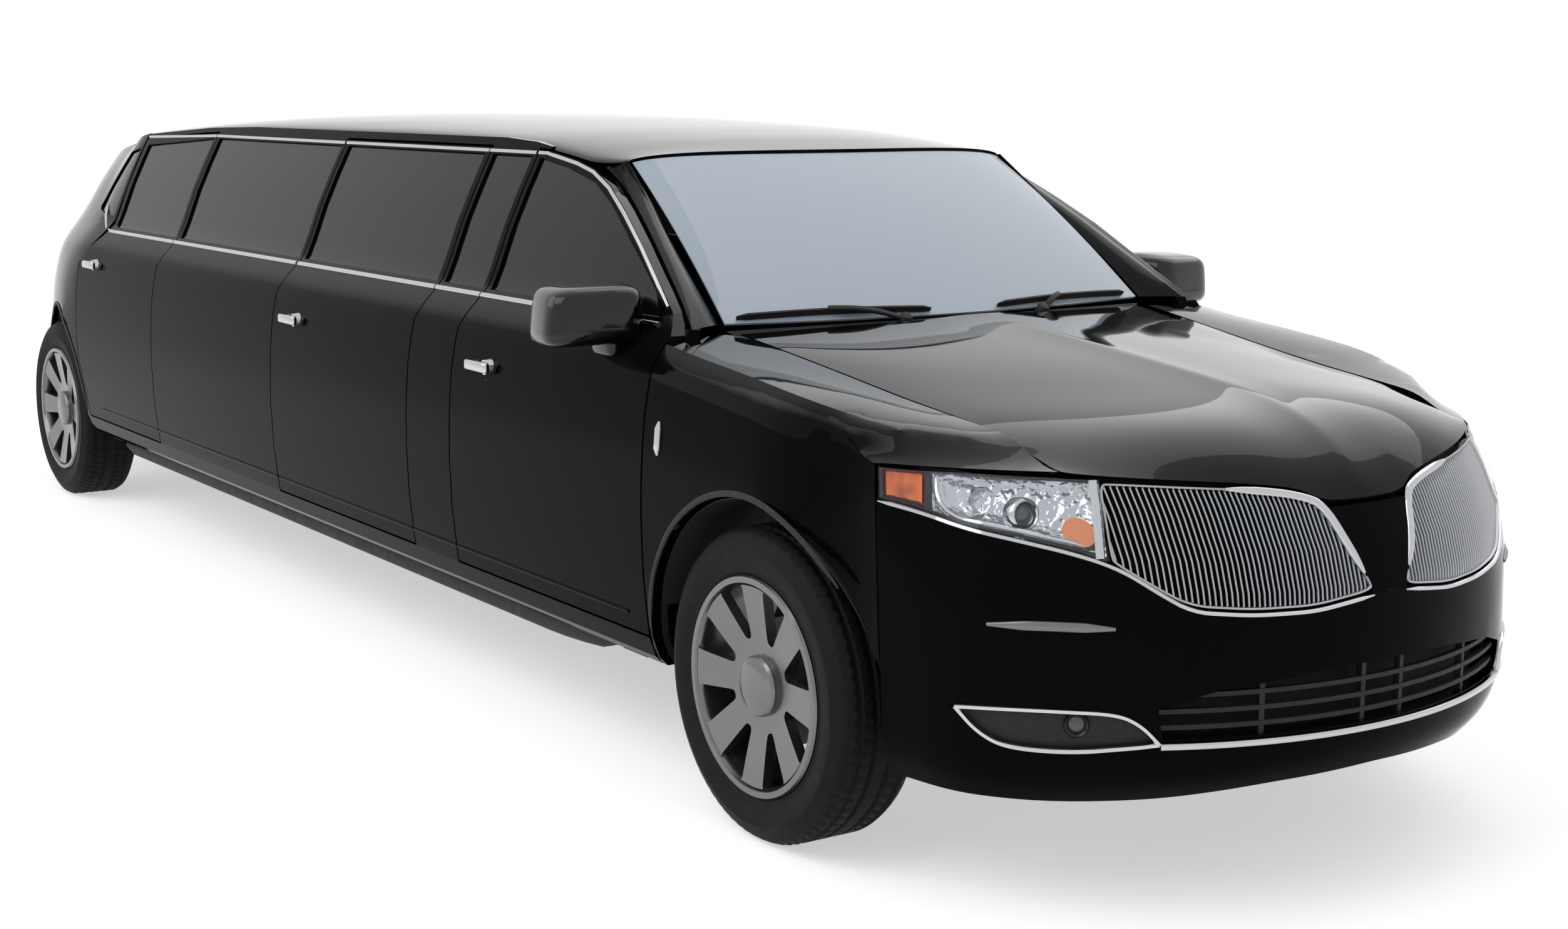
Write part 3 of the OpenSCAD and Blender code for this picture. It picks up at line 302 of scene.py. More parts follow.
def look(rows, at):
    if at <= rows[0][0]:
        return rows[0][1]
    for (a, low), (b, high) in zip(rows, rows[1:]):
        if at <= b:
            return low + (high - low) * (at - a) / (b - a)
    return rows[-1][1]


def mix(a, b, t):
    return a + (b - a) * t


def lookSoft(rows, at, reach=34.0):
    return sum(look(rows, at + reach * step / 4) for step in range(-4, 5)) / 9


# corners of a closed outline cut again and again until they are round
def rounded(points, cut=26.0, rounds=3):
    for step in range(rounds):
        fine = []
        for (y0, z0), (y1, z1) in zip(points, points[1:] + points[:1]):
            part = min(0.25, cut / max(1.0, math.hypot(y1 - y0, z1 - z0)))
            fine += [(mix(y0, y1, part), mix(z0, z1, part)), (mix(y1, y0, part), mix(z1, z0, part))]
        points, cut = fine, cut / 2
    return points


def sidePoint(x, z, side, out=0.0):
    tilt = (look(sideRows, z + 6) - look(sideRows, z - 6)) / 12.0
    normal = Vector((0, 1, tilt)).normalized()
    point = Vector((x, plan["halfWidth"] - look(sideRows, z), z)) + normal * out
    return Vector((point.x, side * point.y, point.z)), Vector((0, side * normal.y, normal.z))


def ease(t):
    t = max(0.0, min(1.0, t))
    return t * t * (3 - 2 * t)


def planWide(u):
    start, length = plan["bend"]
    return plan["halfWidth"] * math.sqrt(max(0.0, 1 - (max(0.0, u - start) / length) ** 2))


def noseWide(z):
    inset, share = plan["noseIn"]
    return plan["halfWidth"] - inset - share * look(noseRows, z)


def nosePoint(angle, z, deep=0.0):
    high, end, long = max(plan["noseSquare"], z), math.radians(plan["noseEnd"]), plan["noseLength"]
    start, reach = (math.radians(turn) for turn in plan["noseBlend"])
    over = planWide(plan["noseSet"] + long * math.cos(end)) - look(sideRows, high) - noseWide(high) * math.sin(end)
    over *= ease((abs(angle) - start) / reach)
    return Vector((plan["frontAxle"] + plan["noseSet"] + (long - look(noseRows, z) - deep) * math.cos(angle),
                   (noseWide(z) - deep) * math.sin(angle) + math.copysign(over, angle), z))


def noseAngle(y, z):
    low, high = 0.0, math.radians(plan["searchEnd"])
    for step in range(plan["searchSteps"]):
        middle = (low + high) / 2
        low, high = (middle, high) if nosePoint(middle, z).y < abs(y) else (low, middle)
    return math.copysign(low, y)


def noseOn(angle, z, out=0.0):
    step = nosePoint(angle + 0.01, z) - nosePoint(angle - 0.01, z)
    rise = nosePoint(angle, z + 4) - nosePoint(angle, z - 4)
    normal = step.cross(rise).normalized()
    return nosePoint(angle, z) + normal * out, normal


def noseAt(y, z, out=0.0):
    return noseOn(noseAngle(y, z), z, out)


def tailAt(s, z, out=0.0):
    def place(s, z):
        q, sign = (2 - s, 1) if s > 1 else (s, -1)
        pinch, power = plan["tailPinch"]
        width = (plan["halfWidth"] - look(sideRows, z)) * (1 - pinch * q ** power) * max(0, 1 - q ** 4) ** 0.25
        back = plan["rearAxle"] + plan["tailStart"] + look(tailRows, z) - plan["tailLength"] * q
        return Vector((back, sign * width, z))
    across = place(s + 0.004, z) - place(s - 0.004, z)
    rise = place(s, z + 4) - place(s, z - 4)
    normal = rise.cross(across).normalized()
    return place(s, z) + normal * out, normal


# a strip of trim swept along points that lie on a surface
def sweep(shape, path, width, height, closed=False, sunk=1.5, taper=0.0):
    section = [(-0.5, -sunk), (-0.5, height * 0.45), (-0.3, height), (0.3, height), (0.5, height * 0.45), (0.5, -sunk)]
    last = len(path) - 1

    def ring(index):
        point, normal = path[index]
        before = path[index - 1][0] if index or closed else point
        after = path[(index + 1) % len(path)][0] if index < last or closed else point
        along = (after - before).normalized()
        across = along.cross(normal).normalized()
        part = min(index, last - index) / max(1, last)
        scale = 1.0 if closed or not taper else min(1.0, 0.35 + part / taper)
        return [(point + across * (u * width * scale) + normal * (h if h < 0 else h * scale)) * 0.001
                for u, h in section]
    first = bmesh.ops.create_circle(shape, cap_ends=False, segments=len(section), radius=1.0)["verts"]
    for vert, place in zip(first, ring(0)):
        vert.co = place
    loop = list(first)
    edges = [edge for edge in shape.edges if edge.verts[0] in first and edge.verts[1] in first]
    start = list(edges)
    for index in range(1, len(path)):
        made = bmesh.ops.extrude_edge_only(shape, edges=edges)["geom"]
        fresh = [item for item in made if isinstance(item, bmesh.types.BMVert)]
        below = {vert: next(edge.other_vert(vert) for edge in vert.link_edges if edge.other_vert(vert) in loop)
                 for vert in fresh}
        order = {old: new for new, old in below.items()}
        loop = [order[old] for old in loop]
        for vert, place in zip(loop, ring(index)):
            vert.co = place
        edges = [edge for edge in made if isinstance(edge, bmesh.types.BMEdge)
                 and edge.verts[0] in loop and edge.verts[1] in loop]
    if closed:
        bmesh.ops.bridge_loops(shape, edges=start + edges)
    else:
        bmesh.ops.edgeloop_fill(shape, edges=start)
        bmesh.ops.edgeloop_fill(shape, edges=edges)


def trim(name, body, path, width, height, finish="bright_trim", slot=None, **more):
    shape = bmesh.new()
    sweep(shape, path, width, height, **more)
    settle(name, shape, body, slot or finish, finish, 50.0)


# a grid of points on any surface, given in millimetres
def gridOf(shape, us, vs, place, close=False):
    made = bmesh.ops.create_grid(shape, x_segments=len(us) - 1, y_segments=len(vs) - 1, size=1.0)["verts"]
    for vert in made:
        i = round((vert.co.x + 1) / 2 * (len(us) - 1))
        j = round((vert.co.y + 1) / 2 * (len(vs) - 1))
        vert.co = place(us[i], vs[j]) * 0.001
    if close:
        bmesh.ops.remove_doubles(shape, verts=made, dist=0.00001)
    return made


# a profile of (radius, along) turned about an axis
def lathe(shape, profile, place, axis, steps=40):
    turn = Vector(axis).to_track_quat("Z", "Y").to_matrix()

    def at(angle, row):
        radius, along = profile[row]
        return Vector(place) + turn @ Vector((radius * math.cos(angle), radius * math.sin(angle), along))
    gridOf(shape, evenly(0.0, 2 * math.pi, steps), list(range(len(profile))), at, True)


# a closed cushion-like form: boxy sections of given half sizes about a centre
def pillow(shape, centre, half, power=4.0, turn=None, around=32, along=18, crown=None):
    turn = turn or Matrix.Identity(3)

    def bent(value):
        return math.copysign(abs(value) ** (2.0 / power), value)

    def at(angle, rise):
        ring = bent(math.cos(rise))
        point = Vector((half[0] * ring * bent(math.cos(angle)), half[1] * ring * bent(math.sin(angle)),
                        half[2] * bent(math.sin(rise))))
        return Vector(centre) + turn @ (crown(point) if crown else point)
    gridOf(shape, evenly(0.0, 2 * math.pi, around), evenly(-math.pi / 2, math.pi / 2, along), at, True)


def evenly(low, high, count):
    return [mix(low, high, index / count) for index in range(count + 1)]


# small corrections of form: a flatter roof and header, and a fuller foot of the bumper
roofDrop = [(-2900, 0), (-2000, 25), (-800, 46), (1300, 46), (1815, 30), (2500, 24)]
roofCrown = {"half": 690.0, "power": 2.4, "soft": 0.62, "screenRise": 430.0, "screenPower": 1.6}
bumperFoot = [(230, 112), (275, 52), (318, 12), (390, 0)]
bumperPush = {"under": 385.0, "half": 935.0, "sideways": 0.55}


def crownPart(across):
    return max(0.0, 1 - abs(across) ** roofCrown["power"]) ** roofCrown["soft"]


def flatter(point):
    return point - Vector((0, 0, look(roofDrop, point.x) * crownPart(point.y / roofCrown["half"])))


def flatterScreen(point):
    part = max(0.0, min(1.0, (point.z - plan["screenFoot"]) / roofCrown["screenRise"]))
    return point + (flatter(point) - point) * part ** roofCrown["screenPower"]


def fullerFoot(point):
    fuller = max(0.0, look(noseRows, point.z) - look(bumperFoot, point.z))
    push = fuller if point.z < bumperPush["under"] else 0.0
    ahead = max(1.0, point.x - plan["frontAxle"] - plan["noseSet"])
    angle = math.atan2(point.y / bumperPush["half"], ahead / plan["noseLength"])
    return point + Vector((push * math.cos(angle), bumperPush["sideways"] * push * math.sin(angle), 0))


calm = {"hood": {"along": 6, "across": (0, 2, 4, 6), "middle": 2.45, "half": (0.72, 0.66), "edge": 0.05, "up": 0.2,
                 "ridge": 0.007, "ridgeWide": 0.05, "crease": 0.55}}
pressed = {"roof": flatter, "windscreen": flatterScreen, "front_bumper": fullerFoot}


# the outer skin's heights drawn onto one smooth sheet, held at its rim
def calmSheet(shape, values):
    shape.normal_update()
    facing = {vert: [face.normal.z > values["up"] for face in vert.link_faces] for vert in shape.verts}
    skin = [vert for vert, ups in facing.items() if ups and all(ups)]
    rim = [vert.co.copy() for vert, ups in facing.items() if any(ups) and not all(ups)]

    def terms(point):
        u, v = (point.x - values["middle"]) / values["half"][0], abs(point.y) / values["half"][1]
        return [u ** i * v ** j for i in range(values["along"] + 1) for j in values["across"]]
    held = [vert.co for vert in skin] + rim
    rows, heights = numpy.array([terms(point) for point in held]), numpy.array([point.z for point in held])
    share = numpy.linalg.lstsq(rows, heights, rcond=None)[0]
    for vert in skin:
        away = min(math.hypot(vert.co.x - point.x, vert.co.y - point.y) for point in rim)
        level = float(numpy.dot(terms(vert.co), share))
        ridge = values["ridge"] * math.exp(-abs(vert.co.y) / values["ridgeWide"])
        vert.co.z += (level + ridge - vert.co.z) * ease(away / values["edge"])
    print("sheet calmed:", len(skin), len(rim))


# panels: the CAD panel's own faces, joined into quads and rounded
weld = {"near": 0.00003, "sliver": 0.00002, "flat": 24.0, "skew": 100.0}


def panelCopy(node, bend=26.0, rounds=0, finish=None):
    shape = bmesh.new()
    shape.from_mesh(nodes[node].data)
    for vert in shape.verts if node in pressed else ():
        vert.co = pressed[node](vert.co * 1000) * 0.001
    bmesh.ops.remove_doubles(shape, verts=shape.verts, dist=weld["near"])
    bmesh.ops.dissolve_degenerate(shape, edges=shape.edges, dist=weld["sliver"])
    if node in calm:
        calmSheet(shape, calm[node])
    if rounds:
        bmesh.ops.join_triangles(shape, faces=shape.faces, angle_face_threshold=math.radians(weld["flat"]),
                                 angle_shape_threshold=math.radians(weld["skew"]))
    hold = shape.edges.layers.float.get("crease_edge") or shape.edges.layers.float.new("crease_edge")
    for face in shape.faces:
        face.smooth = True
    for edge in shape.edges:
        sharp = len(edge.link_faces) != 2 or edge.calc_face_angle() > math.radians(bend)
        edge.smooth = not sharp
        edge[hold] = 1.0 if sharp else 0.0
        if node == "hood" and all(abs(vert.co.y) < 0.002 for vert in edge.verts):
            edge[hold] = calm["hood"]["crease"]
    made = newObject(node + "_panel", shape)
    made.data.materials.append(finishes[finish or slotOf[node]])
    if rounds:
        finer = made.modifiers.new("rounder", "SUBSURF")
        finer.levels = finer.render_levels = rounds
    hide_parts(node)
    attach(made, bodyOf[node])
    return made


panels = (("hood", 40, 2), ("roof", 35, 2),
          ("fenders front_bumper quarters rear_bumper liftgate liftgate_glass", 30, 1), ("windscreen", 40, 2),
          ("cowl", 40, 1), ("body_side_left body_side_right door_front_left door_front_right door_mid_right", 24, 0),
          ("door_rear_left door_rear_right", 24, 0), ("pillars", 30, 1),
          ("side_glass glass_front_left glass_front_right glass_mid_right glass_rear_left glass_rear_right", 24, 0),
          ("tail_lamps", 35, 1), ("steering_wheel", 35, 0))
wheelEdge = {"bend": 30.0, "wide": 0.0022, "segments": 2, "angle": 32.0}
for members, bend, rounds in panels:
    for node in members.split():
        panelCopy(node, bend, rounds)
for wheel in ("front_left", "front_right", "rear_left", "rear_right"):
    made = panelCopy("wheel_" + wheel, wheelEdge["bend"])
    soft = made.modifiers.new("softEdge", "BEVEL")
    soft.width, soft.segments = wheelEdge["wide"], wheelEdge["segments"]
    soft.limit_method, soft.angle_limit = "ANGLE", math.radians(wheelEdge["angle"])
print("panels rounded:", sum(len(members.split()) for members, bend, rounds in panels))

# bright strips along the sides
strips = {"beltZ": 1156.0, "beltWide": 15.0, "beltOut": 5.0, "roofZ": 1549.0, "roofWide": 11.0, "roofOut": 4.0,
          "roofRearZ": 1531.0, "roofFront": 1350.0, "sillZ": 446.0, "sillWide": 10.0, "sillOut": 3.0,
          "sillRear": -1980.0,
          "kick": [(-2072, 1157), (-2130, 1164), (-2180, 1182), (-2230, 1210), (-2270, 1236), (-2292, 1250)]}
pillarLine = [(-1434, 1546), (-1354, 1537), (-1255, 1525), (-1152, 1506), (-1035, 1468), (-901, 1405), (-765, 1333),
              (-638, 1255), (-540, 1196)]
sideRuns = {"door_front": (1291.0, 2262.0), "filler": (995.0, 1285.0), "door_mid": (-64.0, 989.0),
            "fixed_right": (-1292.0, -78.0), "fixed_left": (-1292.0, 989.0), "door_rear": (-2066.0, -1298.0)}


def flankAt(x, z, side):
    part = (plan["rearAxle"] + plan["tailStart"] + look(tailRows, z) - x) / plan["tailLength"]
    return sidePoint(x, z, side) if part < 0.006 else tailAt(part if side < 0 else 2 - part, z)


def sideTrims():
    for side, word in sides:
        runs = [("door_front", "door_front_" + word), ("filler", "body"), ("door_rear", "door_rear_" + word)]
        runs += [("door_mid", "door_mid_right"), ("fixed_right", "body")] if side < 0 else [("fixed_left", "body")]
        for run, body in runs:
            low, high = sideRuns[run]
            tag = run + "_" + word
            path = [sidePoint(x, strips["beltZ"], side) for x in evenly(low, high, 12)]
            trim("beltStrip_" + tag, body, path, strips["beltWide"], strips["beltOut"])
            path = [sidePoint(x, strips["sillZ"], side) for x in evenly(max(low, strips["sillRear"]), high, 12)]
            trim("sillLine_" + tag, body, path, strips["sillWide"], strips["sillOut"], "black_paint")
            if run == "door_front":
                path = [sidePoint(plan["frontAxle"] + x, z, side) for x, z in reversed(pillarLine)]
                path += [sidePoint(x, strips["roofZ"], side) for x in evenly(strips["roofFront"], low + 8, 3)]
            elif run == "door_rear":
                path = [sidePoint(x, mix(strips["roofRearZ"], strips["roofZ"], (x - low) / (high - low)), side)
                        for x in evenly(high, low + 12, 8)]
            else:
                path = [sidePoint(x, strips["roofZ"], side) for x in evenly(high, low, 10)]
            trim("roofStrip_" + tag, body, path, strips["roofWide"], strips["roofOut"])
        path = [flankAt(x, z, side) for x, z in strips["kick"]]
        trim("beltKick_" + word, "body", path, strips["beltWide"], strips["beltOut"], taper=0.15)


sideTrims()


# wheel-arch lips, wheel wells behind them, and dark skirts under the sills, partly underbody trim and partly painted
# shadow
arches = {"high": 386.0, "radius": 436.0, "wide": 15.0, "out": 4.0, "lips": {"front": (40, 176), "rear": (4, 172)},
          "liner": 424.0, "inner": {"front": 505.0, "rear": 570.0}, "turns": (-8, 188), "edge": 24.0, "hub": 0.12,
          "thick": 0.003, "lean": 160.0, "skirtIn": 96.0, "skirtZ": 301.0, "skirt": (-1930.0, 2100.0),
          "rise": (420.0, 26.0), "skirtWide": 54.0, "skirtOut": 16.0, "skirtSunk": 34.0}


def wingAt(x, z, side):
    point, normal = sidePoint(x, z, side)
    shrink = plan["halfWidth"] - planWide(x - plan["frontAxle"])
    return point - Vector((0, side * shrink, 0)), (normal + Vector((shrink / arches["lean"], 0, 0))).normalized()


def wheelWell(name, values, tag, x, side, place):
    shape = bmesh.new()
    turns = evenly(*(math.radians(turn) for turn in values["turns"]), 48)
    inner = values["inner"][tag]

    def at(turn, y, part=1.0):
        reach = part * values["liner"]
        return Vector((x + reach * math.cos(turn), y, values["high"] + reach * math.sin(turn)))

    def barrel(turn, v):
        flat = at(turn, 0.0)
        outer = abs(place(flat.x, flat.z, side)[0].y) - values["edge"]
        return at(turn, side * mix(inner, outer, v))
    gridOf(shape, turns, evenly(0.0, 1.0, 5), barrel)
    if tag == "rear":
        gridOf(shape, turns, evenly(values["hub"], 1.0, 3), lambda turn, part: at(turn, side * inner, part))
        bmesh.ops.remove_doubles(shape, verts=shape.verts, dist=0.0002)
    bmesh.ops.solidify(shape, geom=shape.faces[:], thickness=values["thick"])
    settle(name, shape, "body", "chassis_black")


def archTrims(values):
    axles = (("front", plan["frontAxle"], wingAt), ("rear", plan["rearAxle"], flankAt))
    for side, word in sides:
        for tag, x, place in axles:
            path = []
            for turn in evenly(*(math.radians(turn) for turn in values["lips"][tag]), 40):
                across, rise = values["radius"] * math.cos(turn), values["radius"] * math.sin(turn)
                path.append(place(x + across, values["high"] + rise, side))
            trim("archLip_%s_%s" % (tag, word), "body", path, values["wide"], values["out"], "cowl_plastic",
                 "black_paint", taper=0.1)
            wheelWell("wheelWell_%s_%s" % (tag, word), values, tag, x, side, place)
        # the dark skirt below each sill is partly the underbody and partly a painted shadow under the car
        y = side * (plan["halfWidth"] - values["skirtIn"])
        reach, lift = values["rise"]
        path = []
        for x in evenly(*values["skirt"], 40):
            rise = max(0.0, 1 - (values["skirt"][1] - x) / reach)
            path.append((Vector((x, y, values["skirtZ"] + lift * rise ** 2)), Vector((0, side, 0))))
        trim("sillSkirtAndShade_" + word, "body", path, values["skirtWide"], values["skirtOut"], "chassis_black",
             sunk=values["skirtSunk"], taper=0.02)


archTrims(arches)


# door pulls: a bright bar on its two feet, and a lock below the front one
pulls = {"places": {"door_front": (1513.0, 980.0), "door_mid": (135.0, 990.0), "door_rear": (-2000.0, 1026.0)},
         "bar": (0.128, 0.019, 0.03), "barAt": (-36.0, 21.5), "round": 0.008, "feet": ((0.0, 0.024), (-80.0, 0.013)),
         "footOut": 7.0, "footDeep": 0.02, "lockAt": (-14.0, 1.5, -46.0), "lockDeep": 0.008}


def addDisc(shape, segments, wide, top, deep, place):
    made = bmesh.ops.create_cone(shape, cap_ends=True, segments=segments, radius1=wide, radius2=top, depth=deep)
    disc = made["verts"]
    bmesh.ops.rotate(shape, verts=disc, matrix=Matrix.Rotation(-math.pi / 2, 3, "X"))
    bmesh.ops.translate(shape, vec=[value * 0.001 for value in place], verts=disc)


def doorPulls(values):
    for side, word in sides:
        for run, (x, z) in values["places"].items():
            if run == "door_mid" and side > 0:
                continue
            y = plan["halfWidth"] - look(sideRows, z)
            shape = bmesh.new()
            bar = bmesh.ops.create_cube(shape, size=1.0)["verts"]
            along, out = values["barAt"]
            bmesh.ops.scale(shape, vec=values["bar"], verts=bar)
            bmesh.ops.translate(shape, vec=((x + along) * 0.001, (y + out) * 0.001, z * 0.001), verts=bar)
            bmesh.ops.bevel(shape, geom=shape.edges[:], offset=values["round"], segments=4, profile=0.5, affect="EDGES",
                            material=-1)
            for foot, radius in values["feet"]:
                addDisc(shape, 36, radius, radius * 0.86, values["footDeep"], (x + foot, y + values["footOut"], z))
            along, out, up = values["lockAt"]
            addDisc(shape, 28, 0.012, 0.01, values["lockDeep"], (x + along, y + out, z + up))
            if side < 0:
                bmesh.ops.scale(shape, vec=(1, -1, 1), verts=shape.verts)
            settle("doorPull_%s_%s" % (run, word), shape, run + "_" + word, "bright_trim")


doorPulls(pulls)


# bright lines of the nose, a mark on each fender, and the washer covers in grey alloy as a painted reflection
noseTrim = {"turns": (3.0, 76.6), "under": 5.0, "upperWide": 10.5, "upperOut": 5.0, "fogWide": 11.0, "fogCut": 24.0,
            "lipZ": 391.0, "lipWide": 15.0, "lipEnd": 528.0, "out": 6.0, "markX": 2425.0, "mark": (862.0, 944.0),
            "markSize": (17.0, 9.0), "washer": (610.0, 800.0), "washerZ": 640.0, "washerSize": (22.0, 7.0)}


def noseTrims(values):
    for side, word in sides:
        path = []
        for turn in evenly(*values["turns"], 64):
            angle = math.radians(turn)
            high = lookSoft(bumperTop, plan["bumperReach"] * math.sin(angle)) - values["under"]
            path.append(noseOn(side * angle, high))
        trim("noseLine_" + word, "body", path, values["upperWide"], values["upperOut"], taper=0.05)
        outline = rounded(fogShape[:1] + fogShape[:5] + fogShape[4:], values["fogCut"])
        path = [noseAt(side * y, z) for y, z in outline]
        trim("fogSurround_" + word, "body", path, values["fogWide"], values["out"], closed=True)
    path = [noseAt(y, values["lipZ"]) for y in evenly(-values["lipEnd"], values["lipEnd"], 32)]
    trim("lowerLip", "body", path, values["lipWide"], values["out"])
    for side, word in sides:
        path = [sidePoint(values["markX"], z, side) for z in evenly(*values["mark"], 10)]
        trim("fenderMark_" + word, "body", path, *values["markSize"], taper=0.3)
        # the washer covers are body-coloured; their grey alloy finish is a painted reflection
        path = [noseAt(side * y, values["washerZ"] + 3 * math.sin((y - values["washer"][0]) / 60))
                for y in evenly(*values["washer"], 16)]
        trim("washerCoverReflection_" + word, "body", path, *values["washerSize"], "wheel_alloy", "black_paint", taper=0.4)


noseTrims(noseTrim)
print("bright trim fitted")

# grille: a bright rim and fine upright bars in each half, black bars below
grille = {"bars": 47, "first": 70.0, "last": 597.0, "wide": 6.4, "rim": 7.0, "cut": 22.0, "lowerTop": 0.6,
          "edge": (19.0, 7.0),
          "top": [(58, 704), (102, 789), (126, 862), (164, 886), (277, 905), (409, 915), (560, 925), (582, 924),
                  (603, 786)],
          "foot": [(58, 690), (209, 672), (351, 674), (478, 687), (541, 729), (600, 774)],
          "backs": (("core", 664, 930, 606.0, 40.0), ("duct", 372, 560, 610.0, 56.0))}


def upperBars(shape, values):
    for side in (-1, 1):
        path = [noseAt(side * y, z, -8.0) for y, z in rounded(values["foot"] + values["top"][::-1], values["cut"])]
        sweep(shape, path, values["rim"], 7.0, closed=True, sunk=10.0)
        for y in evenly(values["first"], values["last"], values["bars"] - 1):
            low, high = look(values["foot"], y) + 3, look(values["top"], y) - 3
            path = [noseAt(side * y, mix(low, high, t), -11.0) for t in evenly(0.0, 1.0, 8)]
            sweep(shape, path, values["wide"], 6.0, sunk=8.0)


def lowerBars(shape, values):
    shape.from_mesh(nodes["grilles"].data)
    above = [face for face in shape.faces if not 0.0 < face.calc_center_median().z < values["lowerTop"]]
    bmesh.ops.delete(shape, geom=above, context="FACES")


def splitGrille(values):
    for word, slot, build in (("upper", "grille_silver", upperBars), ("lower", "cowl_plastic", lowerBars)):
        shape = bmesh.new()
        build(shape, values)
        made = settle("grille_" + word, shape, "body", slot, None, 40.0)
        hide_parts("grilles")
    for side, word in sides:
        path = []
        for (y0, z0), (y1, z1) in zip(values["top"][:5], values["top"][1:6]):
            path += [noseAt(side * mix(y0, y1, t), mix(z0, z1, t), -2.0) for t in (0.0, 0.25, 0.5, 0.75)]
        calmer = []
        for index, (place, normal) in enumerate(path):
            near = [point for point, facing in path[max(0, index - 2):index + 3]]
            calmer.append((sum(near, Vector()) / len(near), normal))
        trim("grilleEdge_" + word, "body", calmer, *values["edge"], taper=0.25, sunk=8.0)
    for word, low, high, reach, deep in values["backs"]:
        shape = bmesh.new()
        gridOf(shape, evenly(-reach, reach, 40), evenly(low, high, 6), lambda y, z: nosePoint(noseAngle(y, z), z, deep))
        settle("grille_" + word, shape, "body", "chassis_black", "dark_core")


splitGrille(grille)

# headlamps: clear cover over a silver bowl, with a projector, an amber block and bright edges
lamp = {"inner": 41.0, "amber": 67.3, "outer": 76.6, "cover": 3.0, "projector": (3476.0, 700.0, 858.0), "ring": 37.0,
        "aim": (1, 0.12, 0.16), "second": (3390.0, 742.0, 880.0), "secondAim": (1, 0.35, 0.12),
        "line": (44.0, 62.7), "lineEnd": [(64.3, 0.15), (65.4, 0.26), (66.0, 0.42), (66.3, 0.6), (66.4, 0.85)]}


def lampAt(turn, v, deep):
    angle = math.radians(turn)
    low = look(bumperTop, plan["bumperReach"] * math.sin(angle)) + 2.0
    high = look(lampTop, plan["lampReach"] * math.sin(angle)) - 1.0
    return nosePoint(angle, mix(low, high, v), deep)


def lampGrid(shape, turns, rises, deep):
    gridOf(shape, turns, rises, lambda turn, v: lampAt(turn, v, deep))


def lampPiece(name, finish, slot, build, replace=False):
    shape = bmesh.new()
    build(shape)
    copies = bmesh.ops.duplicate(shape, geom=shape.verts[:] + shape.edges[:] + shape.faces[:])["geom"]
    bmesh.ops.scale(shape, vec=(1, -1, 1), verts=[item for item in copies if isinstance(item, bmesh.types.BMVert)])
    bmesh.ops.reverse_faces(shape, faces=[item for item in copies if isinstance(item, bmesh.types.BMFace)])
    made = settle(name, shape, "body", slot, finish, 40.0)
    if replace:
        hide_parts("headlamps")


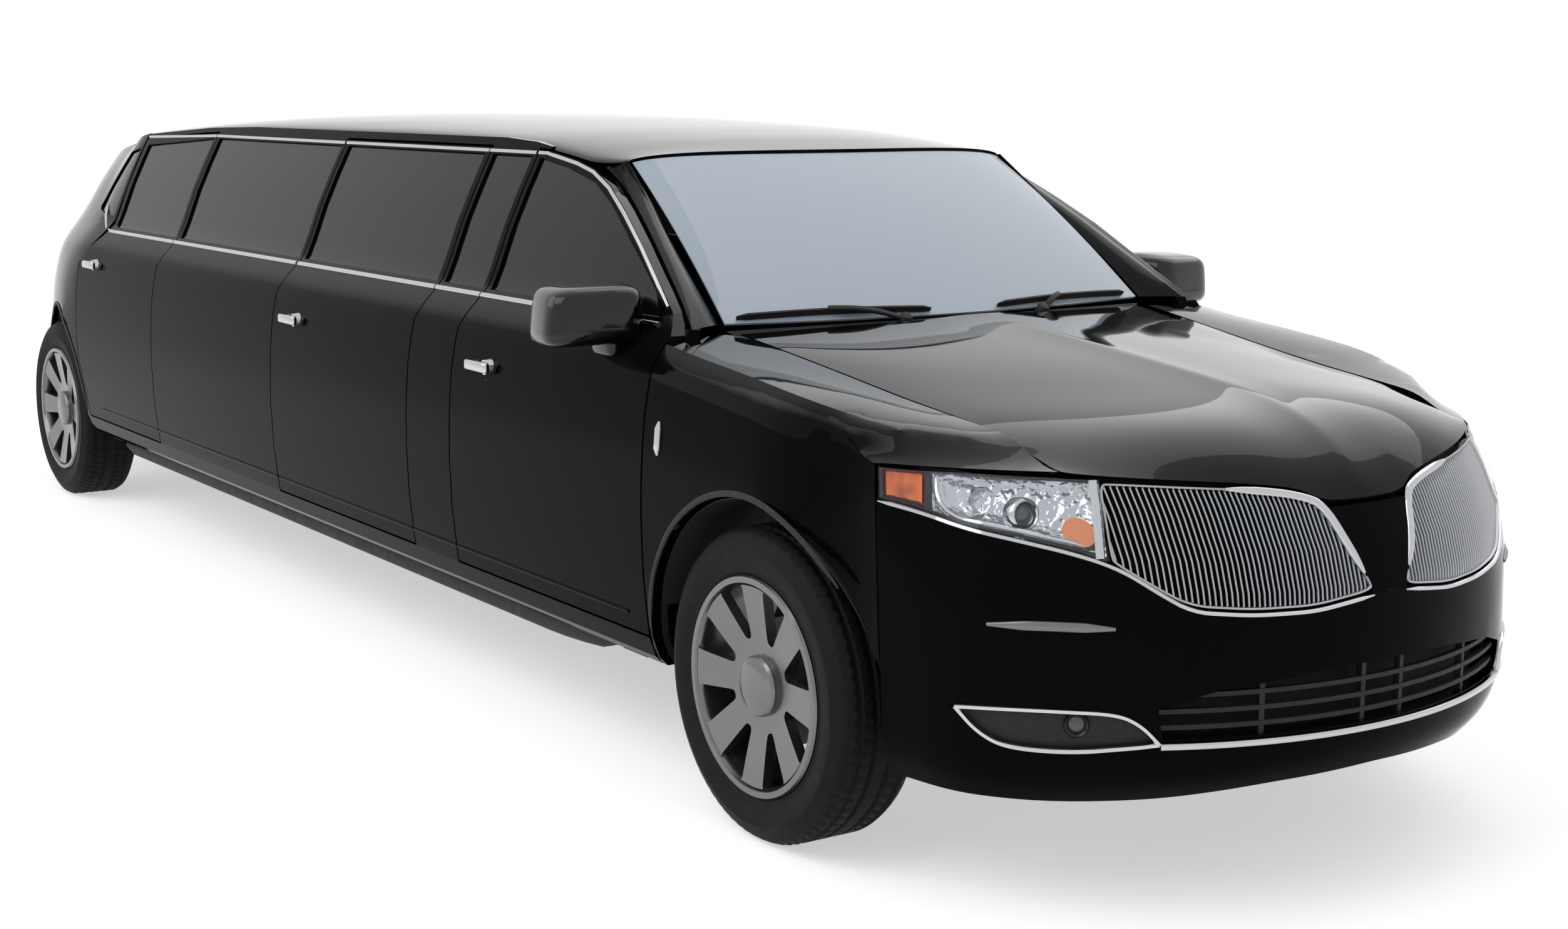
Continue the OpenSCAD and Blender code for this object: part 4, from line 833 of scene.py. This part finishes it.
def headlamps(values):
    inner, border, outer, ring = (values[key] for key in ("inner", "amber", "outer", "ring"))

    def cover(shape):
        lampGrid(shape, evenly(inner, outer, 24), evenly(0.0, 1.0, 8), 2.0)
        bmesh.ops.solidify(shape, geom=shape.faces[:], thickness=values["cover"] * 0.001)

    def bowl(shape):
        def at(turn, v):
            across = (turn - inner) / (border - inner)
            return lampAt(turn, v, 9 + 40 * (1 - (2 * v - 1) ** 6) * (1 - abs(2 * across - 1) ** 5))
        gridOf(shape, evenly(inner, border, 26), evenly(0.0, 1.0, 12), at)

    def amber(shape):
        gridOf(shape, evenly(border + 1.3, outer - 1.5, 8), evenly(0.14, 0.9, 6),
               lambda turn, v: lampAt(turn, v, 7 + 3 * math.sin(turn * 5)))

    def red(shape):
        lampGrid(shape, evenly(border + 0.7, outer - 0.2, 8), evenly(0.05, 0.95, 6), 13.0)

    def peach(shape):
        gridOf(shape, evenly(0.0, 2 * math.pi, 24), evenly(0.0, 1.0, 4),
               lambda turn, r: lampAt(inner + 3.6 + 2.4 * r * math.cos(turn),
                                      0.27 + 0.2 * r * math.sin(turn) - 0.02 * r * math.cos(turn), 7.0), True)

    # dark strips: the black separator between amber block and bowl, one along the foot, one at the outer edge, and one
    # along the top that is a painted shadow
    def dark(shape):
        lampGrid(shape, evenly(border - 0.4, border + 0.9, 2), evenly(0.0, 1.0, 6), 6.5)
        for rises in ([0.0, 0.05], [0.955, 1.0]):
            lampGrid(shape, evenly(inner, outer, 20), rises, 7.5)
        lampGrid(shape, evenly(outer - 0.7, outer, 2), evenly(0.0, 1.0, 6), 6.5)

    def bright(shape):
        path = []
        for turn, v in [(turn, 0.1) for turn in evenly(*values["line"], 12)] + values["lineEnd"]:
            place = lampAt(turn, v, 7.0)
            path.append((place, noseOn(math.radians(turn), place.z)[1]))
        sweep(shape, path, 9.0, 3.0, taper=0.1)
        edge = []
        for v in evenly(0.0, 1.0, 8):
            place = lampAt(inner + 0.9, v, 5.5)
            edge.append((place, noseOn(math.radians(inner), place.z)[1]))
        sweep(shape, edge, 17.0, 2.0)
        rim = [(ring * 0.62, -6), (ring * 0.66, 2), (ring * 0.78, 7), (ring * 0.92, 4), (ring, -4), (ring, -26)]
        lathe(shape, rim, values["projector"], values["aim"])
        rim = [(3, -18), (15, -14), (22, -6), (26, 3), (28, -3), (28, -18)]
        lathe(shape, rim, values["second"], values["secondAim"])

    def eye(shape):
        dome = [(0.001, 8), (ring * 0.25, 6.5), (ring * 0.45, 2.5), (ring * 0.64, -6)]
        lathe(shape, dome, values["projector"], values["aim"])

    for name, finish, slot, build in (
            ("lampCover", "lamp_lens", "lamp_lens", cover), ("lampBowls", "lamp_bowl", "bright_trim", bowl),
            ("lampAmber", "amber_lens", "red_lens", amber), ("lampRed", "red_lens", "red_lens", red),
            ("lampPeach", "peach_lens", "red_lens", peach), ("lampEdgesAndShade", "dark_lamp", "cowl_plastic", dark),
            ("lampBright", "bright_trim", "bright_trim", bright), ("lampEyes", "lamp_eye", "privacy_glass", eye)):
        lampPiece(name, finish, slot, build, build is cover)


headlamps(lamp)

# fog lamps: a black insert with a round lamp in each
fog = {"across": 671.0, "high": 436.0, "sunk": -9.0, "radius": 27.0}


def fogLamps(values):
    panelCopy("fog_lamps", 30, 0, "cowl_plastic")
    ring = values["radius"]
    for side, word in sides:
        point, normal = noseAt(side * values["across"], values["high"], values["sunk"])
        shape = bmesh.new()
        lathe(shape, [(ring * 0.7, -5), (ring * 0.74, 5), (ring * 0.9, 9), (ring, 5), (ring, -8)], point, normal)
        settle("fogRing_" + word, shape, "body", "cowl_plastic", "dark_lamp")
        shape = bmesh.new()
        lathe(shape, [(0.001, 8), (ring * 0.4, 6), (ring * 0.72, 0)], point, normal)
        settle("fogEye_" + word, shape, "body", "lamp_lens", "lamp_eye")


fogLamps(fog)
print("lamps and grille fitted")

# door mirrors: painted cap with a dark line, glass at the back, foot on the door
mirrors = {"centre": (2098.0, 966.0, 1175.0), "half": (106.0, 128.0, 78.0), "power": 5.0, "turn": 12.0, "back": -74.0,
           "footOn": (14.0, 892.0, 1106.0), "foot": (56.0, 50.0, 34.0), "footTurn": -8.0, "split": -30.0,
           "line": (-94.0, 102.0), "glass": (3.0, 100.0, 60.0), "glassUp": 4.0}


def doorMirrors(values):
    turn = Matrix.Rotation(math.radians(values["turn"]), 3, "Z")
    lean = Matrix.Rotation(math.radians(values["footTurn"]), 3, "X")
    centre, half, power = Vector(values["centre"]), values["half"], values["power"]

    def shaped(point):
        across, up = point.y / half[1], point.z / half[2]
        front = max(0.0, point.x / half[0])
        squeeze = 1 - 0.1 * front - (0.06 * across if up > 0 else 0.0)
        slant = 10 * up * (across > 0) * across
        return Vector((max(point.x, values["back"]), point.y * (1 - 0.06 * front ** 2) - slant,
                       point.z * squeeze - 6 * (up < 0) * max(0.0, across)))
    for side, word in sides:
        shape, black, glass = bmesh.new(), bmesh.new(), bmesh.new()
        pillow(shape, centre, half, power, turn, 56, 32, shaped)
        ahead, y, z = values["footOn"]
        pillow(shape, (centre.x + ahead, y, z), values["foot"], 5.0, lean, 28, 14)
        path = []
        for y in evenly(*values["line"], 14):
            deep = half[0] * (1 - abs(y / half[1]) ** power) ** (1 / power)
            place = centre + turn @ Vector((deep * 0.985, y * 0.92, values["split"]))
            path.append((place, turn @ Vector((1, 0.25 * y / 90, 0)).normalized()))
        sweep(black, path, 11.0, 1.5, taper=0.1)
        face = centre + turn @ Vector((values["back"], 0, values["glassUp"]))
        pillow(glass, face, values["glass"], 3.2, turn, 36, 14)
        for part in (shape, black, glass) if side < 0 else ():
            bmesh.ops.scale(part, vec=(1, -1, 1), verts=part.verts)
        made = settle("mirror_%s_cap" % word, shape, "door_front_" + word, "black_paint", "mirror_paint", 50.0)
        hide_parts("mirror_" + word)
        settle("mirror_%s_line" % word, black, "door_front_" + word, "bright_trim", "dark_lamp")
        settle("mirror_%s_glass" % word, glass, "door_front_" + word, "bright_trim", "mirror_face")


doorMirrors(mirrors)

# tyres: sidewall ridges and a tread of ribs cut by slanted slots
tyres = {"half": 117.5, "radius": 371.0, "bead": 249.0, "around": 288, "groove": 6.5, "pitch": 72,
         "grooves": (-64.0, -24.0, 24.0, 64.0), "ribs": (76, 68, 60, 56, 42, 32, 28, 20, 16, 6),
         "shoulder": 28, "middle": 16, "cutFrom": 14}


def tyreProfile(values):
    half, top, bead = values["half"], values["radius"], values["bead"]
    low = [(0, 22), (14, 12), (22, 9), (26, 10), (48, 3), (72, 0), (76, 0), (80, 2)]
    high = [(30, 8), (20, 13), (12, 18), (7, 26), (3, 34)]
    right = [(bead + up, half - inset) for up, inset in low] + [(top - down, half - inset) for down, inset in high]
    right += [(top, float(across)) for across in values["ribs"]]
    return right + [(radius, -across) for radius, across in reversed(right)]


def treadCut(values, angle, across):
    deep = 0.0
    for line in values["grooves"]:
        if abs(across - line) <= 4.5:
            deep = values["groove"]
    phase = (angle * values["pitch"] / (2 * math.pi) + across * 0.012) % 1.0
    if abs(across) > values["shoulder"] and phase < 0.16:
        deep = max(deep, values["groove"] * 0.8)
    if abs(across) <= values["middle"] and phase > 0.9:
        deep = max(deep, values["groove"] * 0.4)
    return deep


def makeTyres(values):
    profile = tyreProfile(values)
    for word, x, side in (("front_left", plan["frontAxle"], 1), ("front_right", plan["frontAxle"], -1),
                          ("rear_left", plan["rearAxle"], 1), ("rear_right", plan["rearAxle"], -1)):
        centre = Vector((x, side * plan["track"] / 2, plan["wheelRadius"]))

        def at(angle, row):
            radius, across = profile[row]
            over = radius - values["radius"] + values["cutFrom"]
            if over > 0:
                radius -= treadCut(values, angle, across) * min(1.0, over / 8)
            return centre + Vector((radius * math.cos(angle), across, radius * math.sin(angle)))
        shape = bmesh.new()
        gridOf(shape, evenly(0.0, 2 * math.pi, values["around"]), list(range(len(profile))), at, True)
        made = settle("tyre_%s_tread" % word, shape, bodyOf["tyre_" + word], "tyre_rubber", None, 30.0)
        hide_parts("tyre_" + word)


makeTyres(tyres)
print("tyres and mirrors made")

# wipers: two blades with arms and pivots at the foot of the screen
wipers = {"near": (-0.94, -0.16, -0.3), "far": (0.16, 0.9, 0.36), "lift": 10.0, "foot": (402, 100, 698),
          "head": (985, 75, 638, 1526, 26), "bulge": 44}


def screenAt(across, rise, out=0.0):
    def place(c, t):
        back, bow, half = wipers["foot"]
        foot = Vector((plan["frontAxle"] - back - bow * c * c, half * c, plan["screenFoot"]))
        back, bow, half, high, crown = wipers["head"]
        head = Vector((plan["frontAxle"] - back - bow * c * c, half * c, high + crown * crownPart(c)))
        return foot.lerp(head, t) + Vector((0.5, 0, 0.9)) * (wipers["bulge"] * t * (1 - t))
    normal = (place(across + 0.02, rise) - place(across - 0.02, rise)).cross(
        place(across, rise + 0.02) - place(across, rise - 0.02)).normalized()
    return place(across, rise) + normal * out, normal


def screenWipers(values):
    for word in ("near", "far"):
        low, high, pivot = values[word]
        shape = bmesh.new()
        path = [screenAt(mix(low, high, t), 0.018 + 0.014 * math.sin(math.pi * t), values["lift"])
                for t in evenly(0.0, 1.0, 20)]
        sweep(shape, path, 9.0, 9.0, sunk=9.0, taper=0.06)
        middle = mix(low, high, 0.45)
        base, up = screenAt(pivot, -0.03, 10.0)
        tip = screenAt(middle, 0.034, values["lift"] + 8)[0]
        arm = [(base.lerp(tip, t) + up * (14 * math.sin(math.pi * t)), up) for t in evenly(0.0, 1.0, 10)]
        sweep(shape, arm, 15.0, 6.0, sunk=3.0)
        lathe(shape, [(0.001, 22), (12, 21), (17, 15), (18, -14)], base - up * 6, up, 28)
        settle("wiper_" + word, shape, "body", "cowl_plastic", None, 40.0)


screenWipers(wipers)
print("wipers fitted")

# seats: crowned leather cushions with sewn channels, on plain plinths
seats = {"floor": 353.3, "front": (1500.0, 380.0, 520.0), "rear": (-1630.0, 0.0, 1180.0), "groove": 7.0, "crown": 16.0}
sideBench = {"low": -1205.0, "high": 815.0, "count": 4}


def cushion(shape, centre, half, turn, face, lines, power=5.0):
    across = 1 if face != 1 else 0
    other = 3 - face - across

    def crowned(point):
        rim = max(0.0, 1 - (point[across] / half[across]) ** 2) * max(0.0, 1 - (point[other] / half[other]) ** 2)
        front = max(0.0, point[face] / half[face]) ** 2
        sewn = sum(math.exp(-((point[across] - line) / 9.0) ** 2) for line in lines)
        sewn += math.exp(-((abs(point[across]) - half[across] * 0.8) / 7.0) ** 2)
        point[face] += front * (seats["crown"] * rim - seats["groove"] * sewn)
        pinch = 1 - 0.03 * (point[other] / half[other]) ** 2
        point[across] *= 1 - 0.02 * (1 - (point[other] / half[other]) ** 2)
        point[other] *= pinch
        return point
    pillow(shape, centre, half, power, turn, 96, 44, crowned)


def seatOf(shape, plinth, x, y, wide, heads):
    floor = seats["floor"]
    flat, lean, head = (Matrix.Rotation(math.radians(turn), 3, "Y") for turn in (-3, -14, -9))
    lines = [wide * part for part in ((-0.17, 0.0, 0.17) if wide < 700 else (-0.34, -0.17, 0.0, 0.17, 0.34))]
    cushion(shape, (x + 30, y, floor + 172), (258.0, wide / 2 - 4, 74.0), flat, 2, lines)
    cushion(shape, (x - 322, y, floor + 520), (62.0, wide / 2 - 6, 330.0), lean, 0, lines)
    for place in heads:
        cushion(shape, (x - 420, y + place, floor + 918), (44.0, 122.0, 84.0), head, 0, [], 3.4)
    pillow(plinth, (x + 10, y, floor + 52), (240.0, wide / 2 - 30, 52.0), 9.0)
    pillow(plinth, (x - 392, y, floor + 470), (16.0, wide / 2 - 24, 300.0), 8.0, lean)


def makeSeats(values):
    soft, plinth = bmesh.new(), bmesh.new()
    x, y, wide = values["front"]
    for side in (-1, 1):
        seatOf(soft, plinth, x, side * y, wide, (0.0,))
    made = settle("frontSeatsSoft", soft, "body", "seat_leather", None, 60.0)
    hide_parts("front_seats")
    settle("frontSeatsPlinth", plinth, "body", "trim_plastic")
    soft, plinth = bmesh.new(), bmesh.new()
    x, y, wide = values["rear"]
    seatOf(soft, plinth, x, y, wide, (-390.0, 0.0, 390.0))
    length = (sideBench["high"] - sideBench["low"]) / sideBench["count"]
    for index in range(sideBench["count"]):
        middle = sideBench["low"] + length * (index + 0.5)
        lines = [length * part for part in (-0.25, 0.0, 0.25)]
        lean = Matrix.Rotation(math.radians(-8), 3, "X")
        turned = Matrix.Rotation(math.radians(-90), 3, "Z")
        cushion(soft, (middle, 462.0, 570.0), (190.0, length / 2 - 3, 70.0), turned, 2, lines)
        cushion(soft, (middle, 716.0, 840.0), (58.0, length / 2 - 3, 205.0), lean @ turned, 0, lines)
    pillow(plinth, ((sideBench["low"] + sideBench["high"]) / 2, 520.0, 428.0), (length * 2 - 8, 215.0, 74.0), 12.0)
    made = settle("loungeSeatsSoft", soft, "body", "seat_leather", None, 60.0)
    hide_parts("lounge_seats")
    settle("loungeSeatsPlinth", plinth, "body", "trim_plastic")


makeSeats(seats)
print("seats padded")
